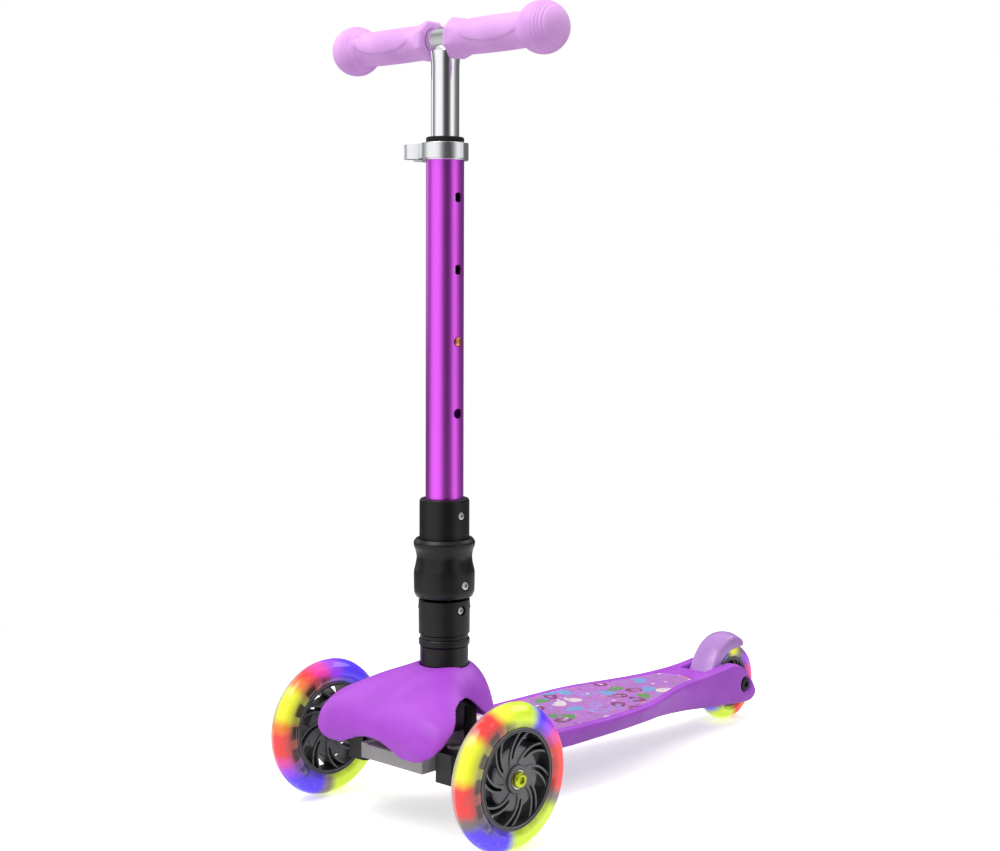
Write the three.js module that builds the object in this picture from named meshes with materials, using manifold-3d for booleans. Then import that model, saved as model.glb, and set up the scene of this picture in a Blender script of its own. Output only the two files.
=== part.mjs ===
// A three wheeled kick scooter for small children, in millimetres, with Z up.
// It drives towards -Y, the front axle lies along X, and the rider's left hand is at +X.
// The origin is on the ground under the middle of the scooter.

import * as THREE from "three";
import { mergeVertices } from "three/addons/utils/BufferGeometryUtils.js";
import Module from "manifold-3d";

const wasm = await Module();
wasm.setup();

// Clearances, the reach of cutting tools past a face, and of joined bodies into each other
const gap = 0.3;
const slide = 0.4;
const overrun = 2;
const bite = 1;

// Wheels
const frontWheelRadius = 60;
const frontWheelWidth = 24;
const trackWidth = 224;
const rearWheelRadius = 40;
const rearWheelWidth = 22;
const wheelbase = 443;
const frontHubShare = 0.69;
const rearHubShare = 0.66;
const hubInset = 1.5;
const hubRimThickness = 3.6;
const hubRimChamfer = 1;
const hubBossRadius = 11.5;
const hubBossProud = 0.3;
const spokeCount = 8;
const rearSpokeCount = 6;
// a spoke is a pair of blades beside a slot, and each width is at the boss, halfway and at the rim
const spokeWidths = [6.4, 7.2, 10.8];
const spokeSlotWidths = [1.6, 3.2, 5.4];
const spokeSlotStartShare = 0.2;
const spokeTurn = 0.62;
const spokeDepthShare = 0.8;
const hubWebShare = 0.62;
const hubWebHalf = 5.6;
const lightDepth = 5.5;
const lightWidth = 10.4;
const lightTeeth = 12;
const rearLightTeeth = 8;
const bearingRadius = 8;
const bearingWidth = 5;
const axleRadius = 4;
const axleHeadRadius = 6.6;
const axleHeadHeight = 3.6;
const axleHexRadius = 3.1;
const hexDepth = 2.4;
// each pair: how far up the tyre's side, and how far out
const tyreSideShares = [[0, 0.8], [0.25, 0.98], [0.6, 0.93], [0.84, 0.64], [0.96, 0.32], [1, 0]];

// Column and its two telescoping tubes
const columnSetback = 36;
const outerTubeRadius = 16.2;
const tubeWall = 1.5;
const tubeAbovePivot = 40;
const tubeBelowBar = 87;
const innerTubeRadius = 12;
const innerTubeSunk = 196.5;
const innerTubeWall = 1.6;
const holeRadius = 4.3;
const holePitch = 61;
const topHoleBelowTop = 46.5;
const holeCount = 4;
const buttonHole = 2;
const buttonProud = 1.2;
const buttonDepth = 3.6;
const buttonFlangeReach = 1.4;
const buttonFlangeThickness = 1.7;
const stripThickness = 0.7;
const stripHalfWidth = 3.5;
const stripRise = 26;
const slideBushLip = 4;
const slideBushReach = 12;

// Handlebar and grips
const barHeight = 660.5;
const crossTubeRadius = 11;
const gripInnerEnd = 13;
const gripBallCentre = 113;
const gripBallRadius = 21.8;
const gripBodyRadius = 14.8;
const gripCollarRadius = 18;
const gripCollarLength = 4.5;
const gripTaperLength = 9.5;
const gripGrooveDepth = 0.8;
const gripBallTurn = 0.755;
const gripPadHalfLength = 27;
const gripPadHalfWidth = 9;
const gripPadDepth = 7;
const gripPadSunk = 4.6;

// Bush and clamp at the top of the column
const bushHeight = 4.6;
const bushDepth = 28;
const bushChamfer = 0.8;
const clampHeight = 14.8;
const clampWall = 3.4;
const clampEarReach = 12;
const clampEarThickness = 5.5;
const clampSlot = 3;
const clampPinShare = 0.5625;
const clampBoltRadius = 2.5;
const clampEyeRadius = 4;
const clampEyeHalf = 2.6;
const clampNutRadius = 4.6;
const clampNutHeight = 4;
const leverPinRadius = 2;
const camRadius = 6.6;
const leverThickness = 2.6;
const leverHeight = 12.4;

// Folding joint
const pivotAboveNeck = 32;
const pivotRadius = 3;
const hingeRadius = 21.4;
const bodyAbovePivot = 25;
const socketAbovePivot = 95;
const socketRound = 2.4;
const tongueThickness = 15.2;
const tongueRadius = 13.6;
const blockRadius = 22;
const blockAboveRing = 2.9;
const blockAbovePivot = 9;
const blockChamfer = 1.2;
const cheekRadius = 15.6;
const cheekHalfWidth = 16.2;
const sleeveAbovePivot = 11;
const sleeveReach = 49.5;
const sleeveWaistWall = 2.2;
const sleeveRimWall = 4.6;
const socketScrewBelowTop = 14;
const sleeveScrewAboveFoot = 11;
const screwRadius = 2.2;
const screwHeadRadius = 3.9;
const screwHeadHeight = 2.4;
const screwHexShare = 0.42;
const foldNutRadius = 4.2;
const foldNutHeight = 2.4;
// each pair: how far up the sleeve, and how far out between the waist's wall and the rim's
const sleeveShares = [[0, 0.15], [0.09, 0.75], [0.4, 0.88], [0.52, 0.5], [0.68, 0], [0.78, 0.22],
  [0.87, 0.82], [0.93, 1], [1, 0.1]];

// Neck and steering post
const neckRadius = 20.8;
const neckTop = 144;
const ringHeight = 6.8;
const tenonRadius = 15;
const tenonDepth = 26;
const flangeRadius = 30;
const flangeTop = 101;
const flangeThickness = 4;
const tiltAboveRod = 18;
const tiltPinRadius = 5;
const tiltPinHeadReach = 2.4;
const tiltPinHeadHeight = 3;
const postHubHalfWidth = 14;
const postHubRadius = 10;
const postHubHalfLength = 19;
const fingerHalfWidth = 3.4;
const fingerHalfDepth = 2.4;

// Front beam, with the lugs of the tilt pin and the tail under the deck
const beamHalfWidth = 37.5;
const beamFront = -25;
const beamFloor = 52;
const beamWall = 4;
const beamFaceTop = 64;
const beamRibX = 20;
const beamRibHalf = 2;
const beamArmInner = 30;
const lugThickness = 5;
const lugWall = 5;
const lugSpread = 14;
const tailFoot = 46;
const tailHalfWidth = 26;
const tailLength = 52;
const tailScrewX = 16;
const tailScrewBack = 36;
const tailScrewRadius = 2;
const tailScrewHeadRadius = 4.6;
const tailScrewHeadHeight = 2.7;
const bumperRadius = 5;
const bumperBulge = 0.8;
const bumperSpread = 10;
const bumperBack = 8;

// Knuckles, kingpins and tie rod
const kingpinX = 50;
const kingpinRadius = 4;
const kingpinHeadReach = 2.4;
const bossRadius = 8.5;
const bossFoot = 51;
const bossTop = 66;
const bossRoom = 1.4;
const knuckleArm = 5;
const knuckleInner = 42;
const knuckleOuter = 69;
const knuckleHalfDepth = 17;
const knuckleChamfer = 6;
const knuckleWeb = 4;
const stubRadius = 8.6;
const stubEndRadius = 7;
const steerArmLength = 22;
const steerArmHalfWidth = 7;
const steerPinRadius = 2.2;
const tieRodHeight = 58;
const tieRodHalfDepth = 4.5;
const tieRodThickness = 4.2;
const tieRodOverhang = 6;

// Hood over the steering
const hoodWall = 2.6;
const hoodFoot = 70;
const hoodTop = 132.5;
const hoodFront = -49;
const hoodRear = 80;
const hoodHalfWidth = 80;
const hoodBossRadius = 5;
const hoodBossX = 24.5;
const hoodSteps = 14;
// each row: how far back, half width, height of the crown, and squareness of the section
const hoodShares = [
  [0, 0.775, 0.23, 3], [0.016, 0.85, 0.34, 3.3], [0.047, 0.925, 0.455, 3.7], [0.1, 0.975, 0.57, 3.8],
  [0.194, 1, 0.68, 3.7], [0.302, 0.962, 0.785, 3.1], [0.411, 0.85, 0.88, 2.9], [0.519, 0.712, 0.952, 2.6],
  [0.628, 0.612, 1, 2.4], [0.736, 0.562, 1, 2.3], [0.83, 0.488, 0.945, 2.2], [0.907, 0.388, 0.815, 2.1],
  [0.969, 0.25, 0.625, 2], [1, 0.125, 0.43, 2],
];
// the lower edge of a drooping wing and of the arch beside it, from the front: half width and height
const hoodFrontEdgeShares = [
  [1.025, 0.384], [0.969, 0.248], [0.931, 0.168], [0.875, 0.104], [0.815, 0.064], [0.725, 0.019],
  [0.64, -0.002], [0.55, -0.01], [0.488, -0.003], [0.425, 0.021], [0.325, 0.072], [0.225, 0.12],
  [0.12, 0.155], [0, 0.165],
];
const hoodFrontEdgeDepth = 40;
// the wheel arch, from the side: how far back, and height
const hoodSideArchShares = [
  [0.03, 0.06], [0.05, 0.155], [0.093, 0.242], [0.17, 0.372], [0.224, 0.472], [0.29, 0.564],
  [0.375, 0.615], [0.486, 0.612], [0.587, 0.52], [0.643, 0.435], [0.698, 0.348], [0.767, 0.24],
  [0.86, 0.128], [1.08, 0.064],
];

// Deck
const deckFront = 68;
const earReach = 19.5;
const deckHalfWidth = 58;
const deckTop = 60;
const deckEdge = 3.2;
const deckEdgeShare = 0.3;
const deckShell = 3;
const deckRim = 7.5;
const deckRecess = 2.2;
const deckRoomAbove = 20;
const panelThickness = 1;
const recessFront = 84;
const recessRear = 366;
const recessCorner = 12;
const ribThickness = 2.4;
const ribInset = 1.5;
const tailPadHalfWidth = 24;
const tailPadFront = 74;
const tailPadRear = 108;
const spineFront = 110;
const spineRear = 372;
const hollowTaper = 2;
const hollowMargin = 8;
const slotClearance = 17;
const earClearance = 4.8;
const earSeat = 2.8;
const axleNutRadius = 7;
const axleNutHeight = 2.7;
const spacerRadius = 6.4;
// each row: how far back, half width at the rim and at the foot, height of the rim and of the foot
const deckShares = [
  [0, 0.741, 0.638, 1, 0.717], [0.061, 0.862, 0.759, 1.017, 0.692], [0.137, 0.931, 0.81, 1.017, 0.683],
  [0.228, 0.983, 0.862, 1.01, 0.683], [0.33, 1, 0.871, 1, 0.683], [0.423, 0.983, 0.853, 1, 0.683],
  [0.492, 0.914, 0.81, 1, 0.677], [0.55, 0.81, 0.724, 1, 0.65], [0.601, 0.698, 0.647, 1.005, 0.61],
  [0.652, 0.603, 0.579, 1.01, 0.567], [0.71, 0.534, 0.524, 1.013, 0.517], [0.781, 0.5, 0.497, 1.017, 0.457],
  [0.852, 0.483, 0.483, 1.04, 0.407], [0.902, 0.483, 0.483, 1.063, 0.377],
  [0.933, 0.483, 0.483, 1.005, 0.357], [0.955, 0.48, 0.48, 0.905, 0.342],
  [0.974, 0.474, 0.474, 0.78, 0.343], [0.99, 0.466, 0.466, 0.66, 0.375], [1, 0.455, 0.455, 0.55, 0.43],
];
const ribPlaceShares = [0.2, 0.36, 0.52, 0.68, 0.84];

// Brake over the rear wheel
const brakePinBack = 6;
const brakePinHeight = 51;
const brakePinRadius = 2.5;
const brakePinSunk = 0.4;
const brakeHingeRadius = 5;
const brakeClearance = 0.7;
const brakeSkin = 2.8;
const brakeNose = 6;
const brakeTail = 13;
const brakeRise = 11.5;
const brakeSpringHalf = 4.5;
const brakeSpringWall = 1.8;
// each row: how far back, height of the crown, of the shoulder, and of the side skirt's foot
const brakeShares = [
  [0, 0.607, 0.579, 0.503], [0.066, 0.678, 0.634, 0.525], [0.164, 0.776, 0.732, 0.59],
  [0.279, 0.869, 0.82, 0.683], [0.41, 0.94, 0.885, 0.76], [0.557, 0.984, 0.923, 0.809],
  [0.705, 1, 0.938, 0.825], [0.836, 0.99, 0.922, 0.831], [0.934, 0.962, 0.896, 0.836],
  [1, 0.934, 0.88, 0.842],
];

// Faces round large, middle and small turned pieces
const turnSteps = 24;
const fineSteps = 16;
const smallSteps = 12;

// Places worked out from the sizes above
const rearEnd = wheelbase + rearWheelRadius;
const slotFront = wheelbase - rearWheelRadius - slotClearance;
const earInner = rearWheelWidth / 2 + earClearance;
const deckRear = wheelbase + earReach;
const deckLength = deckRear - deckFront;
const recessFloor = deckTop - deckRecess;
const pivotHeight = neckTop + pivotAboveNeck;
const outerTubeFoot = pivotHeight + tubeAbovePivot;
const outerTubeTop = barHeight - tubeBelowBar;
const innerTubeFoot = outerTubeTop - innerTubeSunk;
const topHoleHeight = outerTubeTop - topHoleBelowTop;
const buttonHeight = topHoleHeight - buttonHole * holePitch;
const socketTop = pivotHeight + socketAbovePivot;
const socketScrewHeight = socketTop - socketScrewBelowTop;
const sleeveFoot = pivotHeight + sleeveAbovePivot;
const sleeveTop = sleeveFoot + sleeveReach;
const sleeveScrewHeight = sleeveFoot + sleeveScrewAboveFoot;
const ringTop = neckTop + gap + ringHeight;
const blockFoot = ringTop + blockAboveRing;
const tenonFoot = neckTop - tenonDepth;
const brakePinY = slotFront + brakePinBack;
const frontLug = columnSetback - postHubHalfLength - gap;
const tiltHeight = tieRodHeight + tiltAboveRod;
const rearLug = columnSetback + postHubHalfLength + gap;
const knuckleFoot = bossFoot - gap - knuckleArm;
const knuckleTop = bossTop + gap + knuckleArm;
const hoodLength = hoodRear - hoodFront;
const hoodRise = hoodTop - hoodFoot;

// Helpers: every piece is a closed geometry, and joins and cuts give one back

function toSolid(geometry) {
  const merged = geometry.hasAttribute("normal") ? weld(geometry) : geometry;
  const index = Uint32Array.from(merged.index.array);
  const position = merged.attributes.position;
  if (signedVolume(position, index) < 0) {
    flip(index);
  }
  return new wasm.Manifold(new wasm.Mesh({
    numProp: 3,
    vertProperties: Float32Array.from(position.array),
    triVerts: index,
  }));
}

// Shared corners, kept apart by faces' normals and texture places, become one
function weld(geometry) {
  const bare = geometry.clone();
  bare.deleteAttribute("normal");
  bare.deleteAttribute("uv");
  return mergeVertices(bare);
}

function signedVolume(position, index) {
  const corners = [new THREE.Vector3(), new THREE.Vector3(), new THREE.Vector3()];
  let total = 0;
  for (let i = 0; i < index.length; i += 3) {
    corners.forEach((corner, k) => corner.fromBufferAttribute(position, index[i + k]));
    total += corners[0].dot(corners[1].cross(corners[2]));
  }
  return total;
}

function flip(index) {
  for (let i = 0; i < index.length; i += 3) {
    const kept = index[i];
    index[i] = index[i + 1];
    index[i + 1] = kept;
  }
}

function toGeometry(manifold) {
  const mesh = manifold.getMesh();
  const geometry = new THREE.BufferGeometry();
  const positions = [];
  for (let i = 0; i < mesh.vertProperties.length; i += mesh.numProp) {
    positions.push(mesh.vertProperties[i], mesh.vertProperties[i + 1], mesh.vertProperties[i + 2]);
  }
  geometry.setAttribute("position", new THREE.Float32BufferAttribute(positions, 3));
  geometry.setIndex(Array.from(mesh.triVerts));
  return geometry;
}

function join(...geometries) {
  return toGeometry(geometries.map(toSolid).reduce((sum, next) => sum.add(next)));
}

function cut(base, ...tools) {
  return toGeometry(tools.map(toSolid).reduce((rest, tool) => rest.subtract(tool), toSolid(base)));
}

function common(first, second) {
  return toGeometry(toSolid(first).intersect(toSolid(second)));
}

function mirrored(geometry) {
  const copy = geometry.clone();
  copy.scale(-1, 1, 1);
  return toGeometry(toSolid(copy));
}

function moved(geometry, x, y, z) {
  const copy = geometry.clone();
  copy.translate(x, y, z);
  return copy;
}

// A box between two corners, whose X limits may come in either order
function box(xa, xb, y0, y1, z0, z1) {
  const x0 = Math.min(xa, xb);
  const x1 = Math.max(xa, xb);
  const geometry = new THREE.BoxGeometry(x1 - x0, y1 - y0, z1 - z0);
  geometry.translate((x0 + x1) / 2, (y0 + y1) / 2, (z0 + z1) / 2);
  return geometry;
}

// Turns a geometry made along Y so that it lies along the named axis, through the point (a, b)
function alongAxis(geometry, axis, middle, a, b) {
  if (axis === "x") {
    geometry.rotateZ(-Math.PI / 2);
    geometry.translate(middle, a, b);
  } else if (axis === "y") {
    geometry.translate(a, middle, b);
  } else {
    geometry.rotateX(Math.PI / 2);
    geometry.translate(a, b, middle);
  }
  return geometry;
}

// A round rod from one end to the other along an axis, through the point (a, b) of the other two axes
function rod(axis, radius, from, to, a, b, steps = fineSteps) {
  const geometry = new THREE.CylinderGeometry(radius, radius, to - from, steps);
  return alongAxis(geometry, axis, (from + to) / 2, a, b);
}

// A turned piece from [radius, place along the axis] points; a ring's profile closes on itself
function turned(axis, profile, a, b, steps = turnSteps) {
  const points = profile.map(([radius, along]) => new THREE.Vector2(radius, along));
  if (profile[0][0] > 0) {
    points.push(points[0].clone());
  }
  return alongAxis(new THREE.LatheGeometry(points, steps), axis, 0, a, b);
}

// A plain ring between two radii
function ring(axis, inner, outer, from, to, a, b, steps = turnSteps) {
  return turned(axis, [[inner, from], [outer, from], [outer, to], [inner, to]], a, b, steps);
}

// An outline of [y, z] points pushed along X
function pushedX(outline, x0, x1) {
  const geometry = pushed(outline, x1 - x0);
  geometry.applyMatrix4(new THREE.Matrix4().makeBasis(
    new THREE.Vector3(0, 1, 0), new THREE.Vector3(0, 0, 1), new THREE.Vector3(1, 0, 0)));
  geometry.translate(x0, 0, 0);
  return geometry;
}

// An outline of [x, z] points pushed along Y
function pushedY(outline, y0, y1) {
  const geometry = pushed(outline, y1 - y0);
  geometry.applyMatrix4(new THREE.Matrix4().makeBasis(
    new THREE.Vector3(1, 0, 0), new THREE.Vector3(0, 0, 1), new THREE.Vector3(0, -1, 0)));
  geometry.translate(0, y1, 0);
  return geometry;
}

// An outline of [x, y] points pushed along Z
function pushedZ(outline, z0, z1) {
  const geometry = pushed(outline, z1 - z0);
  geometry.translate(0, 0, z0);
  return geometry;
}

function pushed(outline, depth) {
  const shape = new THREE.Shape(outline.map(([a, b]) => new THREE.Vector2(a, b)));
  return new THREE.ExtrudeGeometry(shape, { depth, bevelEnabled: false });
}

// Points on an arc, with angles in turns of a full circle
function arc(a, b, radius, from, to, steps) {
  const points = [];
  for (let i = 0; i <= steps; i += 1) {
    const angle = 2 * Math.PI * (from + (to - from) * i / steps);
    points.push([a + radius * Math.cos(angle), b + radius * Math.sin(angle)]);
  }
  return points;
}

// A skin through closed sections that all have the same number of [x, y, z] points
function loft(sections) {
  const count = sections[0].length;
  const positions = sections.flat(2);
  const index = [];
  for (let s = 0; s < sections.length - 1; s += 1) {
    for (let i = 0; i < count; i += 1) {
      const a = s * count + i;
      const b = s * count + (i + 1) % count;
      index.push(a, b, b + count, a, b + count, a + count);
    }
  }
  const last = (sections.length - 1) * count;
  const flat = (section) => section.map(([x, , z]) => new THREE.Vector2(x, z));
  THREE.ShapeUtils.triangulateShape(flat(sections[0]), []).forEach(([a, b, c]) => index.push(a, c, b));
  THREE.ShapeUtils.triangulateShape(flat(sections.at(-1)), [])
    .forEach(([a, b, c]) => index.push(last + a, last + b, last + c));
  const geometry = new THREE.BufferGeometry();
  geometry.setAttribute("position", new THREE.Float32BufferAttribute(positions, 3));
  geometry.setIndex(index);
  return geometry;
}

// A half outline from its foot to the middle, followed by its mirror image
function bothSides(points) {
  return [...points, ...points.slice().reverse().filter(([x]) => x !== 0).map(([x, z]) => [-x, z])];
}

// Materials
function material(color, roughness, metalness = 0) {
  return new THREE.MeshStandardMaterial({ color, roughness, metalness });
}

const purplePlastic = material(0xae5cdc, 0.45);
const lilacPlastic = material(0xbe91d7, 0.5);
const gripRubber = material(0xd7a0e6, 0.7);
const blackPlastic = material(0x232323, 0.5);
const greyPlastic = material(0x919191, 0.55);
const hubPlastic = material(0x55555a, 0.4);
const clearTyre = material(0xe6d8c8, 0.3);
const lightPlastic = material(0x303036, 0.5);
const chrome = material(0xd8d8dc, 0.1, 1);
const purpleMetal = material(0xa63cc4, 0.25, 0.9);
const steel = material(0xb4b4b8, 0.35, 1);
const yellowMetal = material(0xb9b432, 0.35, 1);
const copper = material(0xc98346, 0.3, 1);
const polishedMetal = material(0xe2e2e4, 0.18, 1);
const panelFilm = material(0xe8dcae, 0.35);
const darkRubber = material(0x1c1c1c, 0.8);

const scooter = new THREE.Group();
const frame = new THREE.Group();
frame.position.y = (frontWheelRadius - rearEnd) / 2;
scooter.add(frame);

function addPiece(name, geometry, look) {
  const mesh = new THREE.Mesh(toGeometry(toSolid(geometry)), look);
  mesh.name = name;
  frame.add(mesh);
}

// Adds a piece at +X and its mirror image at -X
function addPair(name, geometry, look) {
  addPiece(name + "_left", geometry, look);
  addPiece(name + "_right", mirrored(geometry), look);
}

// Half the length of a hub from boss to boss, bearings included
function hubHalf(wheelWidth) {
  return wheelWidth / 2 - hubInset + hubBossProud;
}

// Tyre: a round tread whose inner side straddles the light ring
function tyreProfile(radius, width, seat) {
  const half = width / 2;
  const depth = radius - seat;
  const outer = tyreSideShares.map(([up, out]) => [seat + depth * up, half * out]);
  const channel = lightWidth / 2 + gap;
  const channelTop = seat + lightDepth + gap;
  const under = [[seat, -channel], [channelTop, -channel], [channelTop, channel], [seat, channel]];
  return [...under, ...outer, ...outer.slice(0, -1).reverse().map(([r, x]) => [r, -x])];
}

// Both edges of a swept spoke or slot as [y, z] points, for widths at its start, halfway and at its end
function sweptOutline(inner, outer, widths, bendAt) {
  const steps = 5;
  const leading = [];
  const trailing = [];
  const [first, middle, last] = widths;
  for (let i = 0; i <= steps; i += 1) {
    const share = i / steps;
    const radius = inner + (outer - inner) * share;
    const straight = first * (1 - share) + last * share;
    const waist = (first + last) / 2 - middle;
    const across = (straight - waist * 4 * share * (1 - share)) / 2 / radius;
    const bend = bendAt(radius);
    leading.push([radius * Math.cos(bend - across), radius * Math.sin(bend - across)]);
    trailing.push([radius * Math.cos(bend + across), radius * Math.sin(bend + across)]);
  }
  return [...leading, ...trailing.reverse()];
}

// Hub: rim, web, swept pairs of blades and a boss with a seat for a bearing in each end
function hubSolid(radius, wheelWidth, spokes, turn) {
  const half = wheelWidth / 2 - hubInset;
  const rimInner = radius - hubRimThickness;
  const rim = turned("x", [[rimInner, -half], [radius - hubRimChamfer, -half], [radius, hubRimChamfer - half],
    [radius, half - hubRimChamfer], [radius - hubRimChamfer, half], [rimInner, half]], 0, 0);
  const pocket = bearingRadius + gap;
  const end = hubHalf(wheelWidth);
  const shoulder = end - bearingWidth - gap;
  const shoulderRadius = (bearingRadius + axleRadius) / 2;
  const boss = turned("x", [[pocket, -end], [hubBossRadius, -end], [hubBossRadius, end], [pocket, end],
    [pocket, shoulder], [shoulderRadius, shoulder], [shoulderRadius, -shoulder], [pocket, -shoulder]],
    0, 0, fineSteps);
  const web = ring("x", hubBossRadius - bite, rimInner * hubWebShare, -hubWebHalf, hubWebHalf, 0, 0);
  const depth = half * spokeDepthShare;
  const length = rimInner - hubBossRadius;
  const blades = [];
  const slots = [];
  for (let i = 0; i < spokes; i += 1) {
    const angle = 2 * Math.PI * (i + 0.5) / spokes;
    const bendAt = (r) => angle + turn * Math.pow((r - hubBossRadius + bite) / length, 1.25);
    const outline = sweptOutline(hubBossRadius - bite, rimInner + bite, spokeWidths, bendAt);
    blades.push(pushedX(outline, -depth, depth));
    const start = hubBossRadius + length * spokeSlotStartShare;
    const slot = sweptOutline(start, rimInner, spokeSlotWidths, bendAt);
    slots.push(pushedX(slot, -depth - overrun, depth + overrun));
  }
  return join(boss, rim, cut(join(web, ...blades), ...slots));
}

// Light ring: a band round the hub with a block for each lamp
function lightRing(seat, teeth) {
  const half = lightWidth / 2;
  const bandTop = seat + lightDepth * 0.4;
  const band = ring("x", seat + gap, bandTop, -half, half, 0, 0);
  const toothHalf = 0.3 * 2 * Math.PI * seat / teeth / 2;
  const blocks = [];
  for (let i = 0; i < teeth; i += 1) {
    const tooth = box(-half, half, -toothHalf, toothHalf, bandTop - bite, seat + lightDepth - gap * 2);
    tooth.rotateX(2 * Math.PI * i / teeth);
    blocks.push(tooth);
  }
  return join(band, ...blocks);
}

// The same hub is fitted turned round on the left, so its spokes sweep the other way
function addWheel(name, x, y, radius, width, hubShare, spokes, teeth) {
  const seat = radius * hubShare;
  const turn = x > 0 ? -spokeTurn : spokeTurn;
  const placed = (geometry) => moved(x < 0 ? mirrored(geometry) : geometry, x, y, radius);
  addPiece(name + "_tyre", placed(turned("x", tyreProfile(radius, width, seat), 0, 0)), clearTyre);
  addPiece(name + "_hub", placed(hubSolid(seat - gap, width, spokes, turn)), hubPlastic);
  addPiece(name + "_light_ring", placed(lightRing(seat, teeth)), lightPlastic);
  const end = hubHalf(width);
  const bearing = ring("x", axleRadius + gap, bearingRadius, end - bearingWidth, end, 0, 0, smallSteps);
  addPiece(name + "_bearing_outer", placed(bearing), steel);
  addPiece(name + "_bearing_inner", placed(mirrored(bearing)), steel);
}

// A hexagon rod along X, for sockets and nuts
function hexRod(radius, x0, x1, y, z) {
  return rod("x", radius, x0, x1, y, z, 6);
}

// Axle bolt of a front wheel, from the outside of the wheel into the knuckle
function frontAxle() {
  const seat = trackWidth / 2 + hubHalf(frontWheelWidth) + gap;
  const top = seat + axleHeadHeight;
  const shaft = rod("x", axleRadius, knuckleOuter + gap, seat + bite, 0, frontWheelRadius);
  const head = turned("x", [[0, seat], [axleHeadRadius, seat], [axleHeadRadius, top - axleHeadHeight / 3],
    [axleHeadRadius * 0.85, top], [0, top]], 0, frontWheelRadius, fineSteps);
  return cut(join(shaft, head), hexRod(axleHexRadius, top - hexDepth, top + overrun, 0, frontWheelRadius));
}

// Grip: flared collar, body with a palm pad, and a ball end with ring grooves
function gripSolid() {
  const ballStart = gripBallCentre - gripBallRadius * 0.72;
  const middle = (gripInnerEnd + ballStart) / 2;
  const bodyStart = gripInnerEnd + gripCollarLength + gripTaperLength;
  const bore = crossTubeRadius + gap;
  const boreEnd = gripBallCentre - gripBallRadius * 0.2;
  const profile = [[bore, gripInnerEnd], [gripCollarRadius * 0.9, gripInnerEnd],
    [gripCollarRadius, gripInnerEnd + gripCollarLength * 0.45],
    [gripCollarRadius, gripInnerEnd + gripCollarLength],
    [(gripCollarRadius + gripBodyRadius * 2) / 3, bodyStart - gripTaperLength / 2],
    [gripBodyRadius, bodyStart], [gripBodyRadius * 1.03, middle], [gripBodyRadius, ballStart - bite * 2]];
  const ballSteps = 9;
  for (let i = 0; i < ballSteps; i += 1) {
    const angle = Math.PI * gripBallTurn * (1 - i / ballSteps);
    const radius = gripBallRadius - (i > 3 && i % 2 === 0 ? gripGrooveDepth : 0);
    profile.push([radius * Math.sin(angle), gripBallCentre + radius * Math.cos(angle)]);
  }
  profile.push([0, gripBallCentre + gripBallRadius], [0, boreEnd], [bore, boreEnd]);
  const body = turned("x", profile, 0, 0, fineSteps);
  const pad = new THREE.SphereGeometry(1, 14, 8);
  pad.scale(gripPadHalfLength, gripPadHalfWidth, gripPadDepth);
  pad.translate(middle + gripPadSunk, 0, gripBodyRadius - gripPadSunk);
  return cut(join(body, pad), rod("x", bore, gripInnerEnd - overrun, boreEnd, 0, 0));
}

function addHandlebar() {
  const crossEnd = gripBallCentre - gripBallRadius * 0.2 - gap;
  const cross = rod("x", crossTubeRadius, -crossEnd, crossEnd, columnSetback, barHeight);
  const upright = rod("z", innerTubeRadius, innerTubeFoot, barHeight, 0, columnSetback);
  const seamFoot = barHeight - crossTubeRadius * 1.9;
  const seam = turned("z", [[0, seamFoot], [innerTubeRadius, seamFoot],
    [innerTubeRadius * 1.08, barHeight - crossTubeRadius], [innerTubeRadius * 0.8, barHeight],
    [0, barHeight]], 0, columnSetback, fineSteps);
  const tools = [
    rod("x", crossTubeRadius - innerTubeWall, -crossEnd - overrun, crossEnd + overrun, columnSetback,
      barHeight),
    rod("z", innerTubeRadius - innerTubeWall, innerTubeFoot - overrun, barHeight - crossTubeRadius - overrun,
      0, columnSetback),
    rod("x", holeRadius - gap / 2, 0, innerTubeRadius + overrun, columnSetback, buttonHeight, smallSteps),
  ];
  addPiece("handlebar_tube", cut(join(cross, upright, seam), ...tools), chrome);
  addPair("grip", moved(gripSolid(), 0, columnSetback, barHeight), gripRubber);
}

// Bush at the foot of the inner tube
function addSlideBush() {
  const outer = outerTubeRadius - tubeWall - gap;
  const foot = innerTubeFoot - slideBushLip;
  const top = innerTubeFoot + slideBushReach;
  const floor = innerTubeFoot - gap;
  const inner = innerTubeRadius * 0.6;
  const bush = turned("z", [[inner, foot], [outer, foot], [outer, top], [innerTubeRadius + gap, top],
    [innerTubeRadius + gap, floor], [inner, floor]], 0, columnSetback, fineSteps);
  addPiece("slide_bush", bush, blackPlastic);
}

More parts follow.
